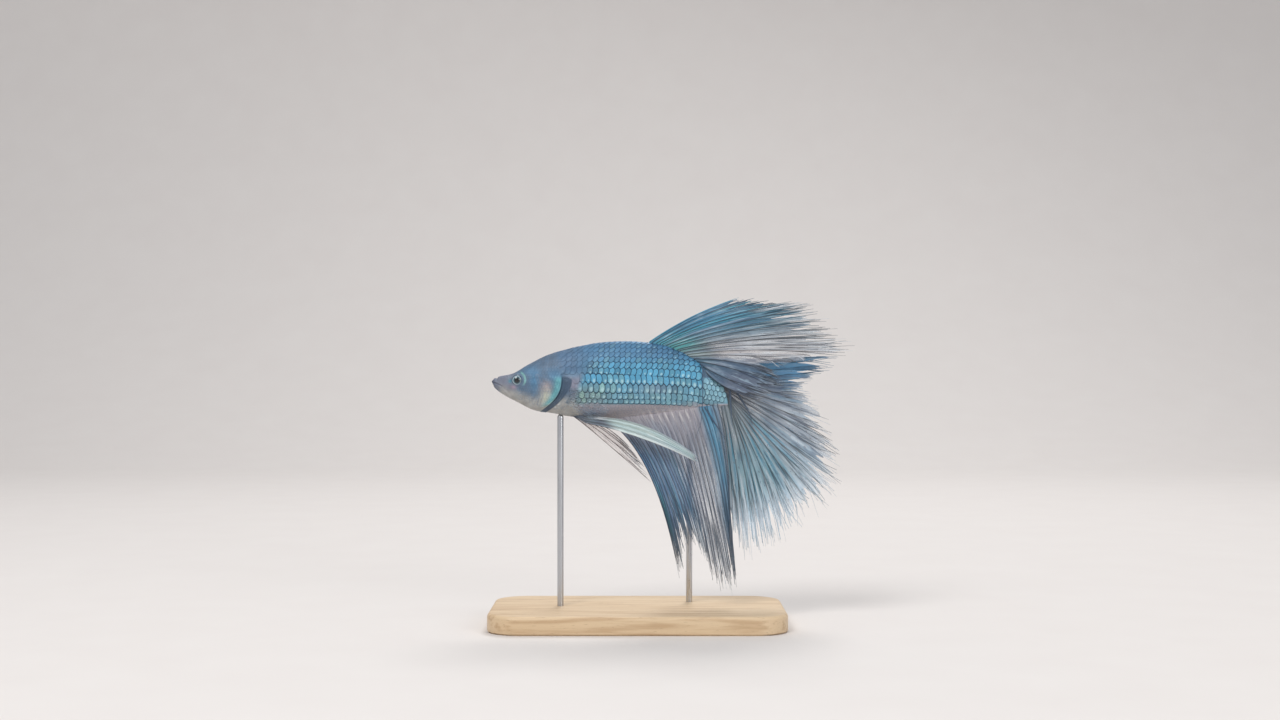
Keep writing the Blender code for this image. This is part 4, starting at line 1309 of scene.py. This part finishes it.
def anal_surface():
    keys = [(0.0, 0.689, -0.27, 0.792, -0.806), (0.11, 0.722, -0.32, 0.806, -0.795),
            (0.24, 0.76, -0.37, 0.832, -0.69), (0.42, 0.826, -0.421, 0.895, -0.725),
            (0.6, 0.885, -0.421, 0.95, -0.85), (0.76, 0.936, -0.421, 1.015, -0.877),
            (0.88, 0.985, -0.294, 1.035, -0.821), (1.0, 1.015, -0.25, 1.01, -0.711)]

    def sway(t, s):
        away = -0.05 * t**3 * s**0.7
        return away + wave(t, s, 1.8, 0.3, 0.3, 0.022) * (1.0 - 0.5 * t)

    base = edge_base(ANAL_START_U, ANAL_END_U, BELLY, FIN_SINK)
    return fan_surface(base, keys, sway, (0.0, 0.03))


def anal_tint(t, s, streak, u, w):
    bands = zones(t, (0.0, 70, 102, 140), (0.1, 82, 113, 148), (0.26, 94, 120, 152),
                  (0.45, 102, 126, 154), (0.62, 124, 134, 152), (0.8, 120, 132, 148),
                  (0.855, 76, 126, 154), (0.91, 76, 134, 164), (0.95, 100, 120, 138),
                  (1.0, 112, 124, 138))
    late, tip = ramp(t, 0.8, 0.86), ramp(s, 0.78, 0.95)
    pale = ramp(1 - streak[1], 0.65, 0.85) * bump(t, 0.66, 0.14) * ramp(s, 0.3, 0.6)
    spot = bump(t, 0.06, 0.03) * ramp(s, 0.5, 0.65) * fall(s, 0.8, 0.9)
    root = fall(s, 0.08, 0.42) * (1 - late) * (0.75 + 0.25 * fall(s, 0.02, 0.12))
    colour = paint(
        bands,
        (FIN_BLUE, (0.25 + 0.5 * fall(t, 0.45, 0.7)) * ramp(streak[0], 0.5, 0.8)),
        (tone(60, 70, 92), 0.5 * ramp(streak[1], 0.6, 0.85)),
        (FIN_PALE, 0.6 * pale),
        (tone(92, 186, 206), 0.7 * spot),
        (tone(72, 102, 130), 0.8 * late * ramp(s, 0.45, 0.75)),
        # The root takes the belly's colours, painted lightening included, and is painted a little
        # darker to match the shaded belly beside it
        (0.94 * belly_colour(u, w), root),
        (tone(186, 190, 198), 0.4 * tip))
    clear = 0.84 - 0.32 * ramp(t, 0.3, 0.6) + 0.34 * bump(t, 0.89, 0.06) - 0.22 * tip
    clear = clear + 0.5 * fall(s, 0.05, 0.35) - 0.26 * bump(t, 0.71, 0.06) * ramp(s, 0.4, 0.7)
    dark = lerp(0.68 + 0.15 * bump(t, 0.05, 0.1), 0.05, fall(s, 0.08, 0.3) * (1 - late))
    return colour, clear, dark, 0.3 * bump(t, 0.66, 0.12) * ramp(s, 0.35, 0.7)


def left_pelvic_surface():
    """A long blade that trails along the belly and widens past its root."""
    curve = np.array([(0.352, -0.163), (0.62, -0.165), (0.864, -0.326)])

    def surface(t, s):
        t, s = np.broadcast_arrays(t, s)
        along = s[..., None]
        heading = unit(bezier(*curve, along + 0.01) - bezier(*curve, along - 0.01))
        across = np.stack([-heading[..., 1], heading[..., 0]], -1)
        open_s = np.clip(s, 0.0, 1.06)
        sunk = fall(s, -ROOT_DEPTH, 0.11)
        half = 0.008 - 0.004 * sunk + 0.018 * np.abs(np.sin(np.pi * np.minimum(open_s * 0.94, 1.0)))
        flat = bezier(*curve, along) + across * (half * (1 - 2 * t))[..., None]
        out = -0.02 - 0.077 * open_s**0.8 + 0.01 * (t - 0.5) * (1.0 - sunk)
        return place(flat[..., 0], out, flat[..., 1] + 0.022 * sunk)

    return surface


def left_pelvic_tint(t, s, streak, u, w):
    root = fall(s - 0.08 * t, 0.18, 0.31)
    colour = paint(
        zones(t, (0.0, 154, 168, 176), (0.35, 178, 200, 201), (0.7, 158, 180, 187),
              (1.0, 226, 234, 234)),
        (tone(186, 204, 198), 0.4 * fall(s, 0.5, 0.8)),
        (tone(84, 94, 112), 0.95 * root),
        (WHITE_GLINT, 0.95 * blob(u, w, (0.466, -0.155), (0.026, 0.006))))
    return colour, 0.92 - 0.15 * ramp(s, 0.85, 1.0), 0.1 + 0.4 * root, 0 * t


def right_pelvic_surface():
    keys = [(0.0, 0.455, -0.235, 0.698, -0.455), (0.5, 0.49, -0.205, 0.64, -0.36),
            (1.0, 0.505, -0.19, 0.596, -0.3)]

    def sway(t, s):
        return 0.075 * s**0.8 + 0.012 * (t - 0.5) * s

    return fan_surface(edge_base(0.345, 0.385, BELLY, FIN_SINK, 0.022), keys, sway, (-0.008, 0.02))


def right_pelvic_tint(t, s, streak, u, w):
    colour = layer(plain(tone(214, 198, 196), t), tone(120, 122, 138), fall(s, 0.05, 0.3))
    return colour, 0.22 + 0.3 * fall(s, 0.1, 0.4), 0.75 + 0 * t, 0.2 + 0 * t


def pectoral_surface(side):
    keys = [(0.0, 0.396, -0.036, 0.462, -0.058), (0.35, 0.412, -0.064, 0.502, -0.104),
            (0.7, 0.4, -0.094, 0.496, -0.152), (1.0, 0.372, -0.118, 0.44, -0.172)]

    def base(t):
        w = lerp(-0.03, -0.088, t)
        u = HEAD_END_U - gill_edge(w) + lerp(0.036, 0.048, t)
        return u, side * (-body_point(u, angle_at(u, w))[..., 1] - FIN_SINK), w

    def sway(t, s):
        return side * (0.072 * s**0.9 + 0.01 * s * np.sin(np.pi * t))

    return fan_surface(base, keys, sway, (-0.003, 0.0))


def pectoral_tint(t, s, streak, u, w):
    return plain(tone(116, 136, 150), t), 0.01 + 0.1 * fall(s, 0.0, 0.3) + 0 * t, 0 * t, 0 * t


FREE_RAY_DARK = tone(62, 80, 102)
# Thick dark free rays: name, node, radius at the root, and stations (u, w, v)
FREE_RAYS = [
    ("dorsal_trailing_ray", "dorsal_fin", 0.00011, [
        (0.888, 0.072, -0.004), (0.895, 0.045, -0.034), (0.896, -0.01, -0.038),
        (0.895, -0.075, -0.03), (0.888, -0.175, -0.018), (0.864, -0.245, -0.02)]),
    ("caudal_near_ray", "caudal_fin", 0.00036, [
        (0.962, 0.032, 0.0), (0.99, 0.004, -0.016), (1.01, -0.037, -0.017),
        (1.015, -0.1, -0.012), (1.02, -0.175, -0.008)]),
    ("caudal_curved_ray", "caudal_fin", 0.00022, [
        (1.0, 0.004, 0.006), (1.033, -0.037, 0.002), (1.069, -0.0915, 0.006),
        (1.0966, -0.1415, 0.009), (1.108, -0.19, 0.014)]),
    ("anal_dark_ray", "anal_fin", 0.00018, [
        (0.905, -0.112, 0.0), (0.935, -0.16, -0.014), (0.962, -0.2, -0.02),
        (0.992, -0.246, -0.026)])]


def make_free_rays(look):
    """Free rays that droop over the near side of the fins."""
    steps, sides = 48, 10
    f = np.linspace(0.0, 1.0, steps)
    for k, (name, node_name, width, stations) in enumerate(FREE_RAYS):
        at = np.linspace(0.0, 1.0, len(stations))
        u, w, v = (smooth(list(zip(at, column)), f) for column in zip(*stations))
        middle = place(u, v, w)
        ahead = unit(np.gradient(middle, axis=0))
        normal = unit(np.cross(ahead, np.array([1.0, 0.0, 0.0])))
        size = lerp(width, 0.00003, f**1.6)
        points = rings_round(middle, normal, np.cross(ahead, normal), size, sides)
        along = np.repeat(f * 6.0, sides)
        spot = np.stack([0 * along + k, along, 0 * along], 1)
        made = add_mesh(name, points, turned(tube_faces(steps, sides)), look,
                        {"hide": plain(FREE_RAY_DARK, along), "spot": spot})
        show(made, "fin_web", node_name)


def make_fins():
    rays = ray_look()
    web = fin_look("fin_web", tone(176, 203, 220), tone(46, 63, 92))
    mint = fin_look("mint_fin", tone(240, 246, 242), tone(128, 156, 158))
    faint = fin_look("faint_fin", tone(226, 224, 222), tone(140, 136, 142))
    clear = fin_look("clear_fin", tone(140, 156, 168), tone(96, 116, 134))
    make_fin("dorsal", "fin_web", "dorsal_fin", (web, rays),
             Fin(dorsal_surface(), 17, dorsal_tint, 3), white_span=(0.15, 0.78))
    make_free_rays(rays)
    make_fin("caudal", "fin_web", "caudal_fin", (web, rays),
             Fin(caudal_surface(), 21, caudal_tint, 5), whites=0.62, hairs=5)
    make_fin("anal", "fin_web", "anal_fin", (web, rays),
             Fin(anal_surface(), 24, anal_tint, 7), {"fine": 16}, white_span=(0.35, 0.8))
    make_fin("pelvic_left", "pale_fin", "pelvic_fin_left", (mint, rays),
             Fin(left_pelvic_surface(), 4, left_pelvic_tint, 9), {"ends": (0.97, 1.0)},
             tips=(0.98, 1.0), radius=(0.00008, 0.00003), hairs=0)
    make_fin("pelvic_right", "pale_fin", "pelvic_fin_right", (faint, rays),
             Fin(right_pelvic_surface(), 5, right_pelvic_tint, 13), {"ends": (0.78, 0.92)},
             tips=(0.9, 1.0), radius=(0.00011, 0.00003), hairs=2)
    for side, label in SIDES:
        make_fin("pectoral_" + label, "clear_fin", "pectoral_fin_" + label, (clear, rays),
                 Fin(pectoral_surface(side), 9, pectoral_tint, 17 + side, fold=0.00003),
                 {"ends": (0.95, 0.99)}, tips=(0.95, 1.0), radius=(0.000035, 0.00001),
                 forks=(0.55, 0.78), hairs=0, whites=0.0)


# ---------------------------------------------------------------- display stand

def make_base(look):
    """A slab with round corners, a chamfered foot and a rounded upper edge."""
    quarter = np.linspace(0.0, np.pi / 2, 15)
    angle = np.concatenate([k * np.pi / 2 + quarter for k in range(4)])
    sign = np.repeat([(1, 1), (-1, 1), (-1, -1), (1, -1)], len(quarter), axis=0)
    corner = np.array([BASE_LENGTH / 2 - BASE_CORNER, BASE_WIDTH / 2 - BASE_CORNER])
    outline = sign * corner + BASE_CORNER * np.stack([np.cos(angle), np.sin(angle)], -1)
    levels = [(0.0, FOOT_CHAMFER), (FOOT_CHAMFER, 0.0)]
    levels += [(BASE_THICKNESS - BASE_BEVEL * (1 - math.sin(a)), BASE_BEVEL * (1 - math.cos(a)))
               for a in np.linspace(0.0, np.pi / 2, 9)]
    levels.append((BASE_THICKNESS, BASE_BEVEL + 0.002))
    rings = []
    for z, inset in levels:
        flat = outline * (1 - 2 * inset / BASE_LENGTH, 1 - 2 * inset / BASE_WIDTH)
        rings.append(np.column_stack([flat, np.full(len(flat), z)]))
    faces = turned(tube_faces(len(levels), len(outline)))
    made = add_mesh("stand_base_wood", np.array(rings), faces, look, crease=40.0)
    return show(made, "stand_wood", "stand_base")


def make_rod(name, foot, head, look):
    sides = 32
    axis = unit(head - foot)
    across = unit(np.cross(axis, np.array([1.0, 0.0, 0.0])))
    length = np.linalg.norm(head - foot)
    stations = [(0.0, 1.0), (0.5 * length, 1.0), (length, 1.0)]
    stations += [(length + ROD_RADIUS * math.sin(angle), math.cos(angle))
                 for angle in np.linspace(0.2, 1.45, 6)]
    along, share = np.array(stations).T
    points = rings_round(foot + axis * along[:, None], across, np.cross(axis, across),
                         ROD_RADIUS * share, sides)
    faces = turned(tube_faces(len(along), sides))
    made = add_mesh(name + "_steel", points, faces, look, crease=50.0)
    return show(made, "stand_steel", name)


def make_stand():
    wood, steel = wood_look(), steel_look()
    make_base(wood)
    belly = place(FRONT_ROD_U, 0.0, smooth(BELLY, FRONT_ROD_U))
    foot = np.array([belly[0], 0.0, BASE_THICKNESS - FRONT_ROD_SUNK])
    make_rod("stand_rod_front", foot, belly - (0.0, 0.0, ROD_RADIUS - 0.0002), steel)
    surface, normal = left_spot(REAR_ROD_U, REAR_ROD_W)
    touch = surface + normal * (ROD_RADIUS - 0.0001)
    touch[1] *= -1
    foot = np.array([touch[0], REAR_ROD_FOOT_V * STANDARD_LENGTH, BASE_THICKNESS])
    make_rod("stand_rod_rear", foot - unit(touch - foot) * REAR_ROD_SUNK, touch, steel)


# ---------------------------------------------------------------- studio and camera

def make_floor():
    """A paper sweep: level in front, and bent up behind."""
    bend, radius, reach = 0.45, 0.35, 1.4
    angle = np.linspace(0.0, np.pi / 2, 25)[1:]
    y = np.concatenate([[-1.2, 0.0, bend], bend + radius * np.sin(angle), [bend + radius]])
    z = np.concatenate([[0.0, 0.0, 0.0], radius * (1 - np.cos(angle)), [reach]])
    x = np.linspace(-1.6, 1.6, 9)
    grid = np.stack(np.broadcast_arrays(x[None], y[:, None], z[:, None]), -1)
    faces = [grid_faces(len(y), len(x), flip=True)]
    add_mesh("studio_floor", grid, faces, paper_look())


def make_light(name, spot, aim, size, power, colour=(1.0, 1.0, 1.0)):
    data = bpy.data.lights.new(name, "AREA")
    data.shape, data.size, data.energy, data.color = "DISK", size, power, colour
    lamp = bpy.data.objects.new(name, data)
    bpy.context.scene.collection.objects.link(lamp)
    lamp.location = spot
    heading = Vector(aim) - Vector(spot)
    lamp.rotation_euler = heading.to_track_quat("-Z", "Y").to_euler()


def make_studio():
    make_floor()
    make_light("key", (-0.25, -0.45, 0.55), (0.0, 0.0, 0.04), 0.3, 2.6)
    make_light("fill", (0.45, -0.5, 0.25), (0.0, 0.0, 0.04), 0.35, 1.1)
    make_light("back", (0.1, 0.4, 0.6), (0.0, 0.0, 0.05), 0.3, 2.2)
    world = bpy.data.worlds.new("studio")
    bpy.context.scene.world = world
    world.use_nodes = True
    sockets = world.node_tree.nodes["Background"].inputs
    sockets["Color"].default_value = (0.92, 0.95, 1.0, 1.0)
    sockets["Strength"].default_value = 0.55
    bpy.context.scene.view_settings.view_transform = "Standard"
    data = bpy.data.cameras.new("camera")
    camera = bpy.data.objects.new("camera", data)
    bpy.context.scene.collection.objects.link(camera)
    data.lens = 50.0
    data.sensor_width = 36.0
    data.clip_start = 0.01
    camera.location = (0.00045, -0.34, 0.0505)
    camera.rotation_euler = (math.pi / 2, 0.0, 0.0)
    bpy.context.scene.camera = camera


# ---------------------------------------------------------------- the whole scene

def build():
    make_skin(skin_look())
    eyes = eye_look()
    for side, label in SIDES:
        make_eye(side, label, eyes)
    make_all_scales(scale_look())
    make_fins()
    make_stand()
    make_studio()


build()
